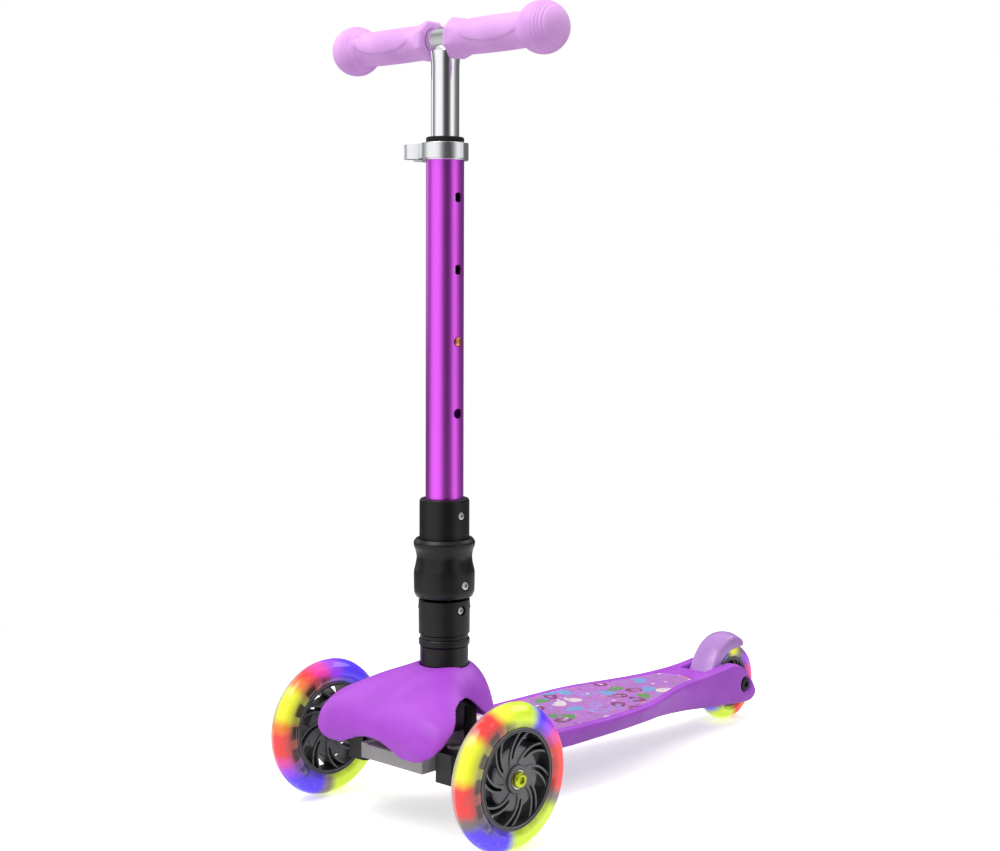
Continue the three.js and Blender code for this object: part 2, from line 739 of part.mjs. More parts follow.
// Snap button in a hole of both tubes, pushed outwards by a bent leaf spring
function addButton() {
  const inside = innerTubeRadius - innerTubeWall;
  const back = inside - buttonDepth;
  const shoulder = back + buttonFlangeThickness;
  const tip = outerTubeRadius + buttonProud;
  const pin = holeRadius - gap * 2;
  const flange = pin + buttonFlangeReach;
  const button = turned("x", [[0, back], [flange, back], [flange, shoulder], [pin, shoulder],
    [pin, tip - buttonProud], [pin * 0.75, tip - buttonProud / 3], [0, tip]],
    columnSetback, buttonHeight, smallSteps);
  addPiece("snap_button", button, copper);

  const right = back - gap;
  const left = stripThickness + gap - inside;
  const straight = pin * 1.3;
  const bendFoot = buttonHeight + stripRise * 0.77;
  const bendTop = buttonHeight + stripRise;
  const lean = stripHalfWidth;
  const outer = [[right, buttonHeight - straight], [right, buttonHeight + straight], [right - lean, bendFoot],
    [0, bendTop], [left + lean, bendFoot], [left, buttonHeight]];
  const inner = [[left + stripThickness, buttonHeight],
    [left + lean + stripThickness, bendFoot - stripThickness],
    [0, bendTop - stripThickness], [right - lean - stripThickness, bendFoot - stripThickness],
    [right - stripThickness, buttonHeight + straight], [right - stripThickness, buttonHeight - straight]];
  addPiece("button_spring",
    pushedY([...outer, ...inner], columnSetback - stripHalfWidth, columnSetback + stripHalfWidth), steel);
}

// Outer tube with its row of height holes, and the bush in its mouth
function addOuterTube() {
  const inside = outerTubeRadius - tubeWall;
  const tube = ring("z", inside, outerTubeRadius, outerTubeFoot, outerTubeTop, 0, columnSetback);
  const tools = [];
  for (let i = 0; i < holeCount; i += 1) {
    const height = topHoleHeight - i * holePitch;
    tools.push(rod("x", holeRadius, 0, outerTubeRadius + overrun, columnSetback, height, smallSteps));
  }
  tools.push(box(-outerTubeRadius - overrun, 0, columnSetback - clampSlot / 2, columnSetback + clampSlot / 2,
    outerTubeTop - clampHeight * 1.4, outerTubeTop + overrun));
  tools.push(rod("x", screwRadius + gap, 0, outerTubeRadius + overrun, columnSetback, socketScrewHeight,
    smallSteps));
  addPiece("outer_tube", cut(tube, ...tools), purpleMetal);

  const bore = innerTubeRadius + gap;
  const rim = outerTubeTop + gap;
  const top = rim + bushHeight;
  const bush = turned("z", [[bore, outerTubeTop - bushDepth], [inside - gap, outerTubeTop - bushDepth],
    [inside - gap, rim], [outerTubeRadius, rim], [outerTubeRadius, top - bushChamfer],
    [outerTubeRadius - bushChamfer, top], [bore, top]], 0, columnSetback, fineSteps);
  addPiece("tube_bush", bush, blackPlastic);
}

// Clamp: a split collar, an eye bolt with its nut, and a cam lever round the front
function addClamp() {
  const y = columnSetback;
  const top = outerTubeTop;
  const foot = top - clampHeight;
  const middle = (foot + top) / 2;
  const inside = outerTubeRadius + gap;
  const outside = inside + clampWall;
  const earHalf = clampSlot / 2 + clampEarThickness;
  const earEnd = -outside - clampEarReach;
  const pinX = -outside - clampEarReach * clampPinShare;
  const camY = y - earHalf - gap - camRadius;
  const band = rod("z", outside, foot, top, 0, y, turnSteps);
  const ear = box(earEnd, -inside, y - earHalf, y + earHalf, foot, top);
  const tools = [
    rod("z", inside, foot - overrun, top + overrun, 0, y, turnSteps),
    box(earEnd - overrun, overrun - inside, y - clampSlot / 2, y + clampSlot / 2, foot - overrun,
      top + overrun),
    rod("y", clampBoltRadius + gap, y - earHalf - overrun, y + earHalf + overrun, pinX, middle, smallSteps),
  ];
  addPiece("clamp_collar", cut(join(band, ear), ...tools), polishedMetal);

  const nutFace = y + earHalf + gap;
  const nutEnd = nutFace + clampNutHeight;
  const eye = rod("z", clampEyeRadius, middle - clampEyeHalf, middle + clampEyeHalf, pinX, camY, smallSteps);
  const shank = rod("y", clampBoltRadius, camY, nutEnd + bite, pinX, middle, smallSteps);
  const eyeHole = rod("z", leverPinRadius + gap, foot, top, pinX, camY, smallSteps);
  addPiece("clamp_bolt", cut(join(eye, shank), eyeHole), steel);
  const nutBore = rod("y", clampBoltRadius + gap, nutFace - overrun, nutEnd + overrun, pinX, middle,
    smallSteps);
  addPiece("clamp_nut", cut(rod("y", clampNutRadius, nutFace, nutEnd, pinX, middle, 6), nutBore), steel);
  addLever(pinX, camY, outside + slide, earEnd, earHalf, middle);
}

// Cam lever: a cam round the pin, and a band that follows the collar round to the far side
function addLever(pinX, camY, inner, earEnd, earHalf, middle) {
  const y = columnSetback;
  const foot = middle - leverHeight / 2;
  const top = middle + leverHeight / 2;
  const outer = inner + leverThickness;
  const start = Math.atan2(camY - y, pinX) / (2 * Math.PI);
  const band = pushedZ([...arc(0, y, outer, start + 0.045, -0.005, fineSteps),
    ...arc(0, y, inner, -0.005, start + 0.045, fineSteps)], foot, top);
  const cam = rod("z", camRadius, foot, top, pinX, camY, fineSteps);
  const arm = pushedZ([[pinX - camRadius * 0.15, camY - camRadius * 0.98],
    [pinX + camRadius * 0.6, camY - camRadius], ...arc(0, y, outer, start + 0.05, start + 0.09, 4),
    ...arc(0, y, inner + gap, start + 0.09, start + 0.05, 4), [pinX + camRadius * 0.3, camY]], foot, top);
  const forkHalf = clampEyeHalf + slide;
  const tools = [
    box(pinX - camRadius - overrun, pinX + camRadius * 0.82, camY - camRadius * 0.75,
      camY + camRadius + overrun, middle - forkHalf, middle + forkHalf),
    rod("z", leverPinRadius + gap, foot - overrun, top + overrun, pinX, camY, smallSteps),
    box(earEnd - overrun, 0, y - earHalf - gap, y + earHalf, foot - overrun, top + overrun),
  ];
  addPiece("clamp_lever", cut(join(cam, arm, band), ...tools), polishedMetal);
  addPiece("lever_pin", rod("z", leverPinRadius, foot, top, pinX, camY, smallSteps), steel);
}

// A button headed screw along X, its head towards +X with a hexagon socket
function buttonScrew(tip, seat, headRadius, shankRadius, y, z) {
  const top = seat + screwHeadHeight;
  const head = turned("x", [[0, seat], [headRadius, seat], [headRadius, seat + screwHeadHeight / 3],
    [headRadius * 0.82, top - screwHeadHeight / 8], [headRadius / 2, top], [0, top]], y, z, smallSteps);
  const shank = rod("x", shankRadius, tip, seat + screwHeadHeight / 6, y, z, smallSteps);
  const socket = hexRod(headRadius * screwHexShare, top - screwHeadHeight * 0.6, top + overrun, y, z);
  return cut(join(head, shank), socket);
}

// Upper hinge: the tube's socket with a tongue below it
function addUpperHinge() {
  const y = columnSetback;
  const foot = pivotHeight + bodyAbovePivot;
  const body = turned("z", [[0, foot], [hingeRadius, foot], [hingeRadius, socketTop - socketRound],
    [hingeRadius - socketRound / 3, socketTop - socketRound / 4], [hingeRadius - socketRound, socketTop],
    [0, socketTop]], 0, y);
  const half = tongueThickness / 2;
  const tongue = pushedX([...arc(y, pivotHeight, tongueRadius, 0.5, 1, 10), [y + tongueRadius, foot + bite],
    [y - tongueRadius, foot + bite]], -half, half);
  const seat = hingeRadius - screwHeadHeight;
  const tools = [
    rod("z", outerTubeRadius + gap, outerTubeFoot - gap, socketTop + overrun, 0, y, turnSteps),
    rod("x", pivotRadius + gap, -half - overrun, half + overrun, y, pivotHeight, smallSteps),
    rod("x", screwRadius + gap, 0, hingeRadius + overrun, y, socketScrewHeight, smallSteps),
    rod("x", screwHeadRadius + gap, seat - gap, hingeRadius + overrun, y, socketScrewHeight, smallSteps),
  ];
  addPiece("upper_hinge", cut(join(body, tongue), ...tools), blackPlastic);
  const tip = outerTubeRadius - tubeWall - overrun;
  addPiece("socket_screw",
    buttonScrew(tip, seat - gap / 2, screwHeadRadius, screwRadius, y, socketScrewHeight), steel);
}

// Lock sleeve that slides up off the joint, with its screw
function addLockSleeve() {
  const y = columnSetback;
  const foot = sleeveFoot;
  const tall = sleeveReach;
  const bore = hingeRadius + slide;
  const outline = sleeveShares.map(([up, out]) =>
    [bore + sleeveWaistWall + (sleeveRimWall - sleeveWaistWall) * out, foot + tall * up]);
  const sleeve = turned("z", [[bore, foot], ...outline, [bore, sleeveTop]], 0, y);
  const thick = bore + sleeveRimWall;
  const headRadius = screwHeadRadius + slide;
  const seat = thick - screwHeadHeight;
  const tools = [
    rod("x", headRadius + gap, seat - gap, thick + overrun, y, sleeveScrewHeight, smallSteps),
    rod("x", screwRadius + gap, hingeRadius - overrun, thick, y, sleeveScrewHeight, smallSteps),
  ];
  addPiece("lock_sleeve", cut(sleeve, ...tools), blackPlastic);
  addPiece("sleeve_screw",
    buttonScrew(bore + gap / 2, seat - gap / 2, headRadius, screwRadius, y, sleeveScrewHeight), steel);
}

// Lower hinge: a block with two cheeks round the tongue and a tenon in the neck, its bolt and nut
function addLowerHinge() {
  const y = columnSetback;
  const slotHalf = tongueThickness / 2 + slide;
  const top = pivotHeight + blockAbovePivot;
  const waist = blockRadius - blockChamfer;
  const block = turned("z", [[0, tenonFoot], [tenonRadius, tenonFoot], [tenonRadius, ringTop + gap],
    [waist, ringTop + gap], [waist, blockFoot], [blockRadius, blockFoot + blockChamfer],
    [blockRadius, top - blockChamfer], [waist, top], [0, top]], 0, y);
  const cheeks = pushedX(arc(y, pivotHeight, cheekRadius, 0, 0.5, 12), -cheekHalfWidth, cheekHalfWidth);
  const seat = waist - screwHeadHeight;
  const tools = [
    box(-slotHalf, slotHalf, y - tongueRadius - slide, y + blockRadius + overrun,
      pivotHeight - tongueRadius - bite, pivotHeight + cheekRadius + overrun),
    rod("x", pivotRadius + gap, -blockRadius - overrun, blockRadius + overrun, y, pivotHeight, smallSteps),
    rod("x", screwHeadRadius + gap, seat - gap, blockRadius + overrun, y, pivotHeight, smallSteps),
    rod("x", foldNutRadius + gap, -blockRadius - overrun, gap - seat, y, pivotHeight, smallSteps),
  ];
  addPiece("lower_hinge", cut(join(block, cheeks), ...tools), blackPlastic);
  const nutEnd = -seat - foldNutHeight;
  addPiece("fold_bolt",
    buttonScrew(nutEnd, seat - gap / 2, screwHeadRadius, pivotRadius, y, pivotHeight), steel);
  const nutBore = rod("x", pivotRadius + gap, nutEnd - overrun, 0, y, pivotHeight, smallSteps);
  addPiece("fold_nut", cut(hexRod(foldNutRadius, nutEnd, -seat, y, pivotHeight), nutBore), steel);
  addPiece("neck_ring", turned("z", [[tenonRadius + gap, neckTop + gap], [waist, neckTop + gap],
    [blockRadius, neckTop + gap + blockChamfer], [blockRadius, ringTop - blockChamfer], [waist, ringTop],
    [tenonRadius + gap, ringTop]], 0, y), blackPlastic);
}

// Steering post: neck, flange for the hood, hub round the tilt pin and a finger for the tie rod
function addPost() {
  const y = columnSetback;
  const flangeFoot = flangeTop - flangeThickness;
  const neck = rod("z", neckRadius, flangeFoot, neckTop, 0, y, turnSteps);
  const flange = rod("z", flangeRadius, flangeFoot, flangeTop, 0, y, turnSteps);
  const hub = pushedY([...arc(0, tiltHeight, postHubRadius, 0.5, 1, 8), [postHubHalfWidth, flangeFoot + bite],
    [-postHubHalfWidth, flangeFoot + bite]], y - postHubHalfLength, y + postHubHalfLength);
  const finger = box(-fingerHalfWidth, fingerHalfWidth, steerArmLength - fingerHalfDepth,
    steerArmLength + fingerHalfDepth, tieRodHeight - bite, tiltHeight - postHubRadius + bite * 3);
  const tools = [
    rod("y", tiltPinRadius + gap, frontLug - overrun, rearLug + overrun, 0, tiltHeight),
    rod("z", tenonRadius + gap, tenonFoot - gap, neckTop + overrun, 0, y, turnSteps),
  ];
  addPiece("steering_post", cut(join(neck, flange, hub, finger), ...tools), blackPlastic);
}

// One end of the beam: arm, boss for the kingpin and the block that carries them
function beamEnd() {
  return [
    rod("z", bossRadius, bossFoot, bossTop, kingpinX, 0),
    box(beamArmInner, kingpinX, -bossRadius * 0.75, bossRadius * 0.75, bossFoot, bossTop),
    box(beamArmInner, beamHalfWidth, beamFront, bossRadius, beamFloor, (beamFaceTop + bossTop) / 2),
    box(beamRibX - beamRibHalf, beamRibX + beamRibHalf, beamFront, frontLug - lugThickness, beamFloor,
      beamFaceTop - beamWall),
  ];
}

function addBeam() {
  const floorTop = beamFloor + beamWall;
  const floor = box(-beamHalfWidth, beamHalfWidth, beamFront, rearLug + lugThickness, beamFloor, floorTop);
  const face = box(-beamHalfWidth, beamHalfWidth, beamFront, beamFront + beamWall, beamFloor, beamFaceTop);
  const lug = [...arc(0, tiltHeight, tiltPinRadius + lugWall, 0, 0.5, 8), [-lugSpread, beamFloor],
    [lugSpread, beamFloor]];
  const ends = beamEnd();
  const beam = join(floor, face,
    pushedY(lug, frontLug - lugThickness, frontLug), pushedY(lug, rearLug, rearLug + lugThickness),
    ...ends, ...ends.map(mirrored),
    box(-tailHalfWidth, tailHalfWidth, rearLug, rearLug + tailLength, tailFoot, tailFoot + beamWall),
    box(-tailHalfWidth, tailHalfWidth, rearLug, rearLug + lugThickness, tailFoot, floorTop));
  const kingpinBore = rod("z", kingpinRadius + gap, bossFoot - overrun, bossTop + overrun, kingpinX, 0,
    smallSteps);
  const screwBore = rod("z", tailScrewRadius + gap, tailFoot - overrun, tailFoot + beamWall + overrun,
    tailScrewX, rearLug + tailScrewBack, smallSteps);
  const pinBore = rod("y", tiltPinRadius + gap, frontLug - lugThickness - overrun,
    rearLug + lugThickness + overrun, 0, tiltHeight);
  addPiece("front_beam",
    cut(beam, pinBore, kingpinBore, mirrored(kingpinBore), screwBore, mirrored(screwBore)), greyPlastic);

  const headSeat = frontLug - lugThickness - gap;
  const headRadius = tiltPinRadius + tiltPinHeadReach;
  const pinEnd = rearLug + lugThickness + bite;
  const pin = turned("y", [[0, headSeat - tiltPinHeadHeight], [headRadius, headSeat - tiltPinHeadHeight],
    [headRadius, headSeat], [tiltPinRadius, headSeat], [tiltPinRadius, pinEnd], [0, pinEnd]],
    0, tiltHeight, fineSteps);
  addPiece("tilt_pin", pin, steel);
}

// Rubber blocks that bring the leaning post back upright
function addBumpers() {
  const foot = beamFloor + beamWall + gap;
  const top = flangeTop - flangeThickness - gap;
  const block = turned("z", [[0, foot], [bumperRadius, foot], [bumperRadius + bumperBulge, (foot + top) / 2],
    [bumperRadius, top], [0, top]], postHubHalfWidth + bumperSpread, columnSetback + bumperBack, smallSteps);
  addPair("tilt_bumper", block, darkRubber);
}

// Knuckle: a fork round the beam's end, a stub for the axle and a steering arm with its pin
function knuckleSolid() {
  const depth = knuckleHalfDepth;
  const chamfer = knuckleChamfer;
  const outline = [[knuckleInner, chamfer / 2 - depth], [knuckleInner + chamfer / 2, -depth],
    [knuckleOuter - chamfer, -depth], [knuckleOuter, chamfer - depth], [knuckleOuter, depth - chamfer],
    [knuckleOuter - chamfer, depth], [knuckleInner + chamfer, depth], [knuckleInner, depth - chamfer]];
  const room = box(0, kingpinX + bossRadius + bossRoom, -depth - overrun, depth + overrun, bossFoot - gap,
    bossTop + gap);
  const web = box(knuckleInner + chamfer / 2, knuckleOuter - chamfer, -depth, knuckleWeb - depth, knuckleFoot,
    knuckleTop);
  const stubEnd = trackWidth / 2 - hubHalf(frontWheelWidth) - gap;
  const stub = turned("x", [[0, knuckleOuter - knuckleWeb], [stubRadius, knuckleOuter - knuckleWeb],
    [stubEndRadius, stubEnd - stubEndRadius], [stubEndRadius, stubEnd], [0, stubEnd]],
    0, frontWheelRadius, fineSteps);
  const half = steerArmHalfWidth;
  const arm = pushedZ([[kingpinX - half, depth - half], [kingpinX + half, depth - half],
    [kingpinX + half * 0.7, steerArmLength], [kingpinX, steerArmLength + steerPinRadius * 2],
    [kingpinX - half * 0.7, steerArmLength]], knuckleFoot, knuckleFoot + knuckleArm);
  const pin = rod("z", steerPinRadius, knuckleFoot + bite, tieRodHeight + tieRodThickness, kingpinX,
    steerArmLength, smallSteps);
  const tools = [
    rod("z", kingpinRadius + gap, knuckleFoot - overrun, knuckleTop + overrun, kingpinX, 0, smallSteps),
    rod("x", axleRadius + gap, knuckleOuter, stubEnd + overrun, 0, frontWheelRadius, smallSteps),
  ];
  return cut(join(cut(pushedZ(outline, knuckleFoot, knuckleTop), room), web, stub, arm, pin), ...tools);
}

function addKnuckles() {
  addPair("knuckle", knuckleSolid(), blackPlastic);
  const seat = knuckleTop + gap;
  const headRadius = kingpinRadius + kingpinHeadReach;
  const kingpin = turned("z", [[0, knuckleFoot], [kingpinRadius, knuckleFoot], [kingpinRadius, seat],
    [headRadius, seat], [headRadius * 0.9, seat + kingpinHeadReach], [0, seat + kingpinHeadReach]],
    kingpinX, 0, smallSteps);
  addPair("kingpin", kingpin, steel);
  addPair("axle_bolt", frontAxle(), yellowMetal);

  const reach = kingpinX + tieRodOverhang;
  const low = tieRodHeight - overrun;
  const high = tieRodHeight + tieRodThickness + overrun;
  const bar = box(-reach, reach, steerArmLength - tieRodHalfDepth, steerArmLength + tieRodHalfDepth,
    tieRodHeight, tieRodHeight + tieRodThickness);
  const pinRoom = steerPinRadius + slide;
  const tools = [-kingpinX, kingpinX].map((x) =>
    box(x - pinRoom, x + pinRoom, steerArmLength - pinRoom, steerArmLength + pinRoom, low, high));
  tools.push(box(-fingerHalfWidth - slide, fingerHalfWidth + slide, steerArmLength - fingerHalfDepth - slide,
    steerArmLength + fingerHalfDepth + slide, low, high));
  addPiece("tie_rod", cut(bar, ...tools), steel);
}

// Hood: a shell with two drooping wings, an arch between them and a wheel arch in each side
function hoodSection(y, halfWidth, foot, crown, squareness) {
  const points = [];
  for (let i = 0; i <= hoodSteps; i += 1) {
    const angle = Math.PI * i / hoodSteps;
    const across = Math.sign(Math.cos(angle)) * Math.pow(Math.abs(Math.cos(angle)), 2 / squareness);
    const up = Math.pow(Math.sin(angle), 2.16 / squareness);
    points.push([halfWidth * across, y, foot + (crown - foot) * up]);
  }
  return points;
}

// The hood's outer skin, or its inner one when it is drawn in by the wall
function hoodSkin(inset, foot) {
  const seat = columnSetback;
  return loft(hoodShares.map(([back, wide, tall, squareness]) => {
    const y = hoodFront + hoodLength * back;
    const pull = (y - seat) / (y < seat ? seat - hoodFront : hoodRear - seat);
    return hoodSection(y - pull * inset, hoodHalfWidth * wide - inset, foot,
      hoodFoot + hoodRise * tall - inset, squareness);
  }));
}

function addHood() {
  const low = hoodFoot - overrun;
  const outer = hoodSkin(0, hoodFoot);
  const shellTools = [hoodSkin(hoodWall, low)];
  const side = hoodSideArchShares.map(([back, up]) =>
    [hoodFront + hoodLength * back, hoodFoot + hoodRise * up]);
  const far = hoodHalfWidth + overrun;
  shellTools.push(pushedX([...side, [side.at(-1)[0], low], [side[0][0], low]], -far, far));
  const boss = common(rod("z", hoodBossRadius, flangeTop + gap, neckTop, hoodBossX, columnSetback), outer);
  const shell = join(cut(outer, ...shellTools), boss, mirrored(boss));
  const front = hoodFrontEdgeShares.map(([out, up]) => [hoodHalfWidth * out, hoodFoot + hoodRise * up]);
  const reach = hoodFront - overrun;
  const arch = pushedY([...bothSides(front), [-front[0][0], low], [front[0][0], low]],
    reach, reach + hoodFrontEdgeDepth);
  const neckBore = rod("z", neckRadius + gap, low, neckTop, 0, columnSetback, turnSteps);
  addPiece("front_cover", cut(shell, neckBore, arch), purplePlastic);
}

// Deck: a waisted board with a recess for its panel, a ribbed underside and two ears at the rear
function deckRows() {
  return deckShares.map(([back, rim, foot, top, bottom]) => [deckFront + deckLength * back,
    deckHalfWidth * rim, deckHalfWidth * foot, deckTop * top, deckTop * bottom]);
}

function deckSection(y, rim, foot, top, bottom) {
  const edge = Math.min(deckEdge, (top - bottom) * deckEdgeShare);
  const right = [[foot - edge * 1.2, bottom], [foot, bottom + edge], [rim, top - edge],
    [rim - edge * 0.35, top - edge * 0.3], [rim - edge, top]];
  return bothSides(right).map(([x, z]) => [x, y, z]);
}

// Half width of the deck's rim at a place along it
function rimAt(y) {
  const rows = deckRows();
  const after = rows.findIndex(([station]) => station >= y);
  const [y0, rim0] = rows[after - 1];
  const [y1, rim1] = rows[after];
  return rim0 + (rim1 - rim0) * (y - y0) / (y1 - y0);
}

function panelOutline(inset) {
  const corner = recessRear - recessCorner;
  const edge = deckRows().filter(([y]) => y > recessFront && y < corner)
    .map(([y, rim]) => [rim - deckRim - inset, y]);
  const last = rimAt(corner) - deckRim - inset;
  const right = [[rimAt(recessFront) - deckRim - inset, recessFront + inset], ...edge, [last, corner],
    [last * 0.72, recessRear - recessCorner / 3 - inset], [0, recessRear - inset]];
  return bothSides(right);
}

// Cross ribs, a spine and a pad for the beam's tail, all trimmed to the deck's outline
function deckRibs() {
  const spineLength = spineRear - spineFront;
  const ribTop = recessFloor - bite;
  const pieces = ribPlaceShares.map((share) => {
    const y = spineFront + spineLength * share;
    return box(-deckHalfWidth, deckHalfWidth, y, y + ribThickness, 0, ribTop);
  });
  pieces.push(box(-ribThickness / 2, ribThickness / 2, spineFront, spineRear, 0, ribTop));
  pieces.push(box(-tailPadHalfWidth, tailPadHalfWidth, tailPadFront, tailPadRear,
    tailFoot + beamWall + gap, ribTop));
  const inside = loft(deckRows().filter(([y]) => y < slotFront).map(([y, rim, foot, top, bottom]) =>
    deckSection(y, rim - bite, foot - bite, top - bite, bottom + ribInset)));
  return common(join(...pieces), inside);
}

// The space under the deck's top, open below
function deckHollow() {
  const roof = recessFloor - deckShell;
  return loft(deckRows().filter(([y]) => y < slotFront - hollowMargin).map(([y, , foot, , bottom]) => {
    const half = foot - deckShell - bite;
    const back = y + deckShell;
    const right = [[half - hollowTaper, bottom - deckShell * 2], [half, bottom], [half, roof]];
    return bothSides(right).map(([x, z]) => [x, back, z]);
  }));
}

function addDeck() {
  const outer = loft(deckRows().map((row) => deckSection(...row)));
  const shell = cut(outer, pushedZ(panelOutline(0), recessFloor, recessFloor + deckRoomAbove), deckHollow());
  const far = deckHalfWidth;
  const screwY = rearLug + tailScrewBack;
  const nutSeat = rimAt(wheelbase) - earSeat;
  const screwBore = rod("z", tailScrewRadius + gap, 0, recessFloor - deckShell, tailScrewX, screwY,
    smallSteps);
  const tools = [
    box(-earInner, earInner, slotFront, deckRear + overrun, 0, deckTop + deckRoomAbove),
    box(-tailHalfWidth - slide, tailHalfWidth + slide, deckFront - overrun, rearLug + tailLength + slide, 0,
      tailFoot + beamWall + gap),
    rod("x", axleRadius + gap, -far, far, wheelbase, rearWheelRadius),
    rod("x", axleNutRadius + overrun, nutSeat, far, wheelbase, rearWheelRadius),
    rod("x", axleNutRadius + overrun, -far, -nutSeat, wheelbase, rearWheelRadius),
    rod("x", brakePinRadius + gap, -far, far, brakePinY, brakePinHeight, smallSteps),
    screwBore,
    mirrored(screwBore),
  ];
  addPiece("deck", cut(join(shell, deckRibs()), ...tools), purplePlastic);
  const panelFoot = recessFloor + gap;
  addPiece("deck_panel", pushedZ(panelOutline(gap), panelFoot, panelFoot + panelThickness), panelFilm);

  const headTop = tailFoot - gap;
  const screwTop = recessFloor - deckShell - bite;
  const screw = turned("z", [[0, headTop - tailScrewHeadHeight], [tailScrewHeadRadius * 0.9,
    headTop - tailScrewHeadHeight], [tailScrewHeadRadius, headTop], [tailScrewRadius, headTop],
    [tailScrewRadius, screwTop], [0, screwTop]], tailScrewX, screwY, smallSteps);
  addPair("deck_screw", screw, steel);
  addRearAxle(nutSeat);
}

// Rear axle through both ears, with its nut and a spacer on each side of the hub
function addRearAxle(seat) {
  const headEnd = seat + axleNutHeight;
  const bolt = turned("x", [[0, -headEnd - bite], [axleRadius, -headEnd - bite], [axleRadius, seat + gap],
    [axleNutRadius, seat + gap], [axleNutRadius, headEnd - bite], [axleNutRadius * 0.85, headEnd],
    [0, headEnd]], wheelbase, rearWheelRadius, fineSteps);
  const socket = hexRod(axleHexRadius, headEnd - axleNutHeight * 0.7, headEnd + overrun, wheelbase,
    rearWheelRadius);
  addPiece("rear_axle", cut(bolt, socket), steel);
  const nutBore = rod("x", axleRadius + gap, -headEnd - overrun, 0, wheelbase, rearWheelRadius, smallSteps);
  const nut = hexRod(axleNutRadius, -headEnd, -seat - gap, wheelbase, rearWheelRadius);
  addPiece("rear_axle_nut", cut(nut, nutBore), steel);
  const spacer = ring("x", axleRadius + gap, spacerRadius, hubHalf(rearWheelWidth) + gap, earInner - gap,
    wheelbase, rearWheelRadius, smallSteps);
  addPair("rear_spacer", spacer, steel);
}

// Brake: a fender with side skirts over the rear wheel, on a pin, with a coiled spring
function brakeSection(y, halfWidth, crown, shoulder, foot) {
  const rise = crown - shoulder;
  const right = [[halfWidth, foot], [halfWidth, shoulder - rise * 0.4],
    [halfWidth * 0.9, shoulder + rise * 0.25],
    [halfWidth * 0.6, crown - rise * 0.28], [halfWidth * 0.25, crown]];
  return bothSides(right).map(([x, z]) => [x, y, z]);
}

// The fender's outer skin, or its inner one when it is drawn in by the wall
function brakeSkinSolid(inset) {
  const front = brakePinY + brakeNose;
  const length = wheelbase + brakeTail - front;
  const height = rearWheelRadius * 2 + brakeRise;
  const last = brakeShares.length - 1;
  const halfWidth = earInner - brakeClearance - inset;
  return loft(brakeShares.map(([back, crown, shoulder, foot], i) => {
    const push = inset * (i === 0 ? 1 : 0.6) + (i === last && inset > 0 ? overrun : 0);
    const drop = inset > 0 ? overrun : 0;
    return brakeSection(front + length * back + push, halfWidth, height * crown - inset,
      height * shoulder - inset, height * foot - drop);
  }));
}

function addBrake() {
  const front = brakePinY + brakeNose;
  const height = rearWheelRadius * 2 + brakeRise;
  const halfWidth = earInner - brakeClearance;
  const [, , shoulder, foot] = brakeShares[0];
  const arm = pushedX([...arc(brakePinY, brakePinHeight, brakeHingeRadius, 0.25, 0.75, 8),
    [front + overrun, height * foot], [front + overrun, height * shoulder]], -halfWidth, halfWidth);
  const reach = brakeHingeRadius + overrun;
  const tools = [
    rod("x", brakePinRadius + gap, -earInner, earInner, brakePinY, brakePinHeight, smallSteps),
    box(-brakeSpringHalf - slide, brakeSpringHalf + slide, brakePinY - reach, brakePinY + brakeHingeRadius,
      brakePinHeight - reach, brakePinHeight + reach),
  ];
  addPiece("brake_fender", cut(join(cut(brakeSkinSolid(0), brakeSkinSolid(brakeSkin)), arm), ...tools),
    lilacPlastic);
  const pinHalf = rimAt(brakePinY) - brakePinSunk;
  addPiece("brake_pin",
    rod("x", brakePinRadius, -pinHalf, pinHalf, brakePinY, brakePinHeight, smallSteps), steel);
  const wire = brakePinRadius + gap;
  addPiece("brake_spring", ring("x", wire, wire + brakeSpringWall, -brakeSpringHalf, brakeSpringHalf,
    brakePinY, brakePinHeight, smallSteps), steel);
}

addWheel("front_left", trackWidth / 2, 0, frontWheelRadius, frontWheelWidth, frontHubShare, spokeCount,
  lightTeeth);
addWheel("front_right", -trackWidth / 2, 0, frontWheelRadius, frontWheelWidth, frontHubShare, spokeCount,
  lightTeeth);
addWheel("rear", 0, wheelbase, rearWheelRadius, rearWheelWidth, rearHubShare, rearSpokeCount,
  rearLightTeeth);
addHandlebar();
addSlideBush();
addButton();
addOuterTube();
addClamp();
addUpperHinge();
addLockSleeve();
addLowerHinge();
addPost();
addBeam();
addBumpers();
addKnuckles();
addHood();
addDeck();
addBrake();

export default scooter;
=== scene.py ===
import math

import bpy
import numpy as np
from mathutils import Matrix, Vector


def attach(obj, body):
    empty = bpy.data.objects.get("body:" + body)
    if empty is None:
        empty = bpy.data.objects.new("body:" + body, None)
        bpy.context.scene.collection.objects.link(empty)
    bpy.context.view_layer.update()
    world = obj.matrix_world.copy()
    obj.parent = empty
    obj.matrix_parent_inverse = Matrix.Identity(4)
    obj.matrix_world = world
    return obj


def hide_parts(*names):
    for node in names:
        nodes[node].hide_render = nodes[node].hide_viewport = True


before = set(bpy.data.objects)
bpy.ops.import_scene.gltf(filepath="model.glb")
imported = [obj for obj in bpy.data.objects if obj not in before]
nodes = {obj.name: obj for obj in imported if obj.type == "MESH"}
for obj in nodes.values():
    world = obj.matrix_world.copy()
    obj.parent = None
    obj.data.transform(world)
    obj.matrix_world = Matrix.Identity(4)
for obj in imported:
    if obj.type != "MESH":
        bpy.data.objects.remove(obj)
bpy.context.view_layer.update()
print("scooter frame loaded,", len(nodes), "nodes")

mm = 0.001
middleBack = 211.5  # the object's origin lies this far behind the front axle
columnBack = 36  # and the column's axis this far
finishing = {"weld": 0.002, "smoothUnder": 44, "softUnder": 50, "flatWeight": 80}


# sizes in millimetres from the front axle and the ground, as metres in the shared frame
def at(x, y, z):
    return Vector((x, y - middleBack, z)) * mm


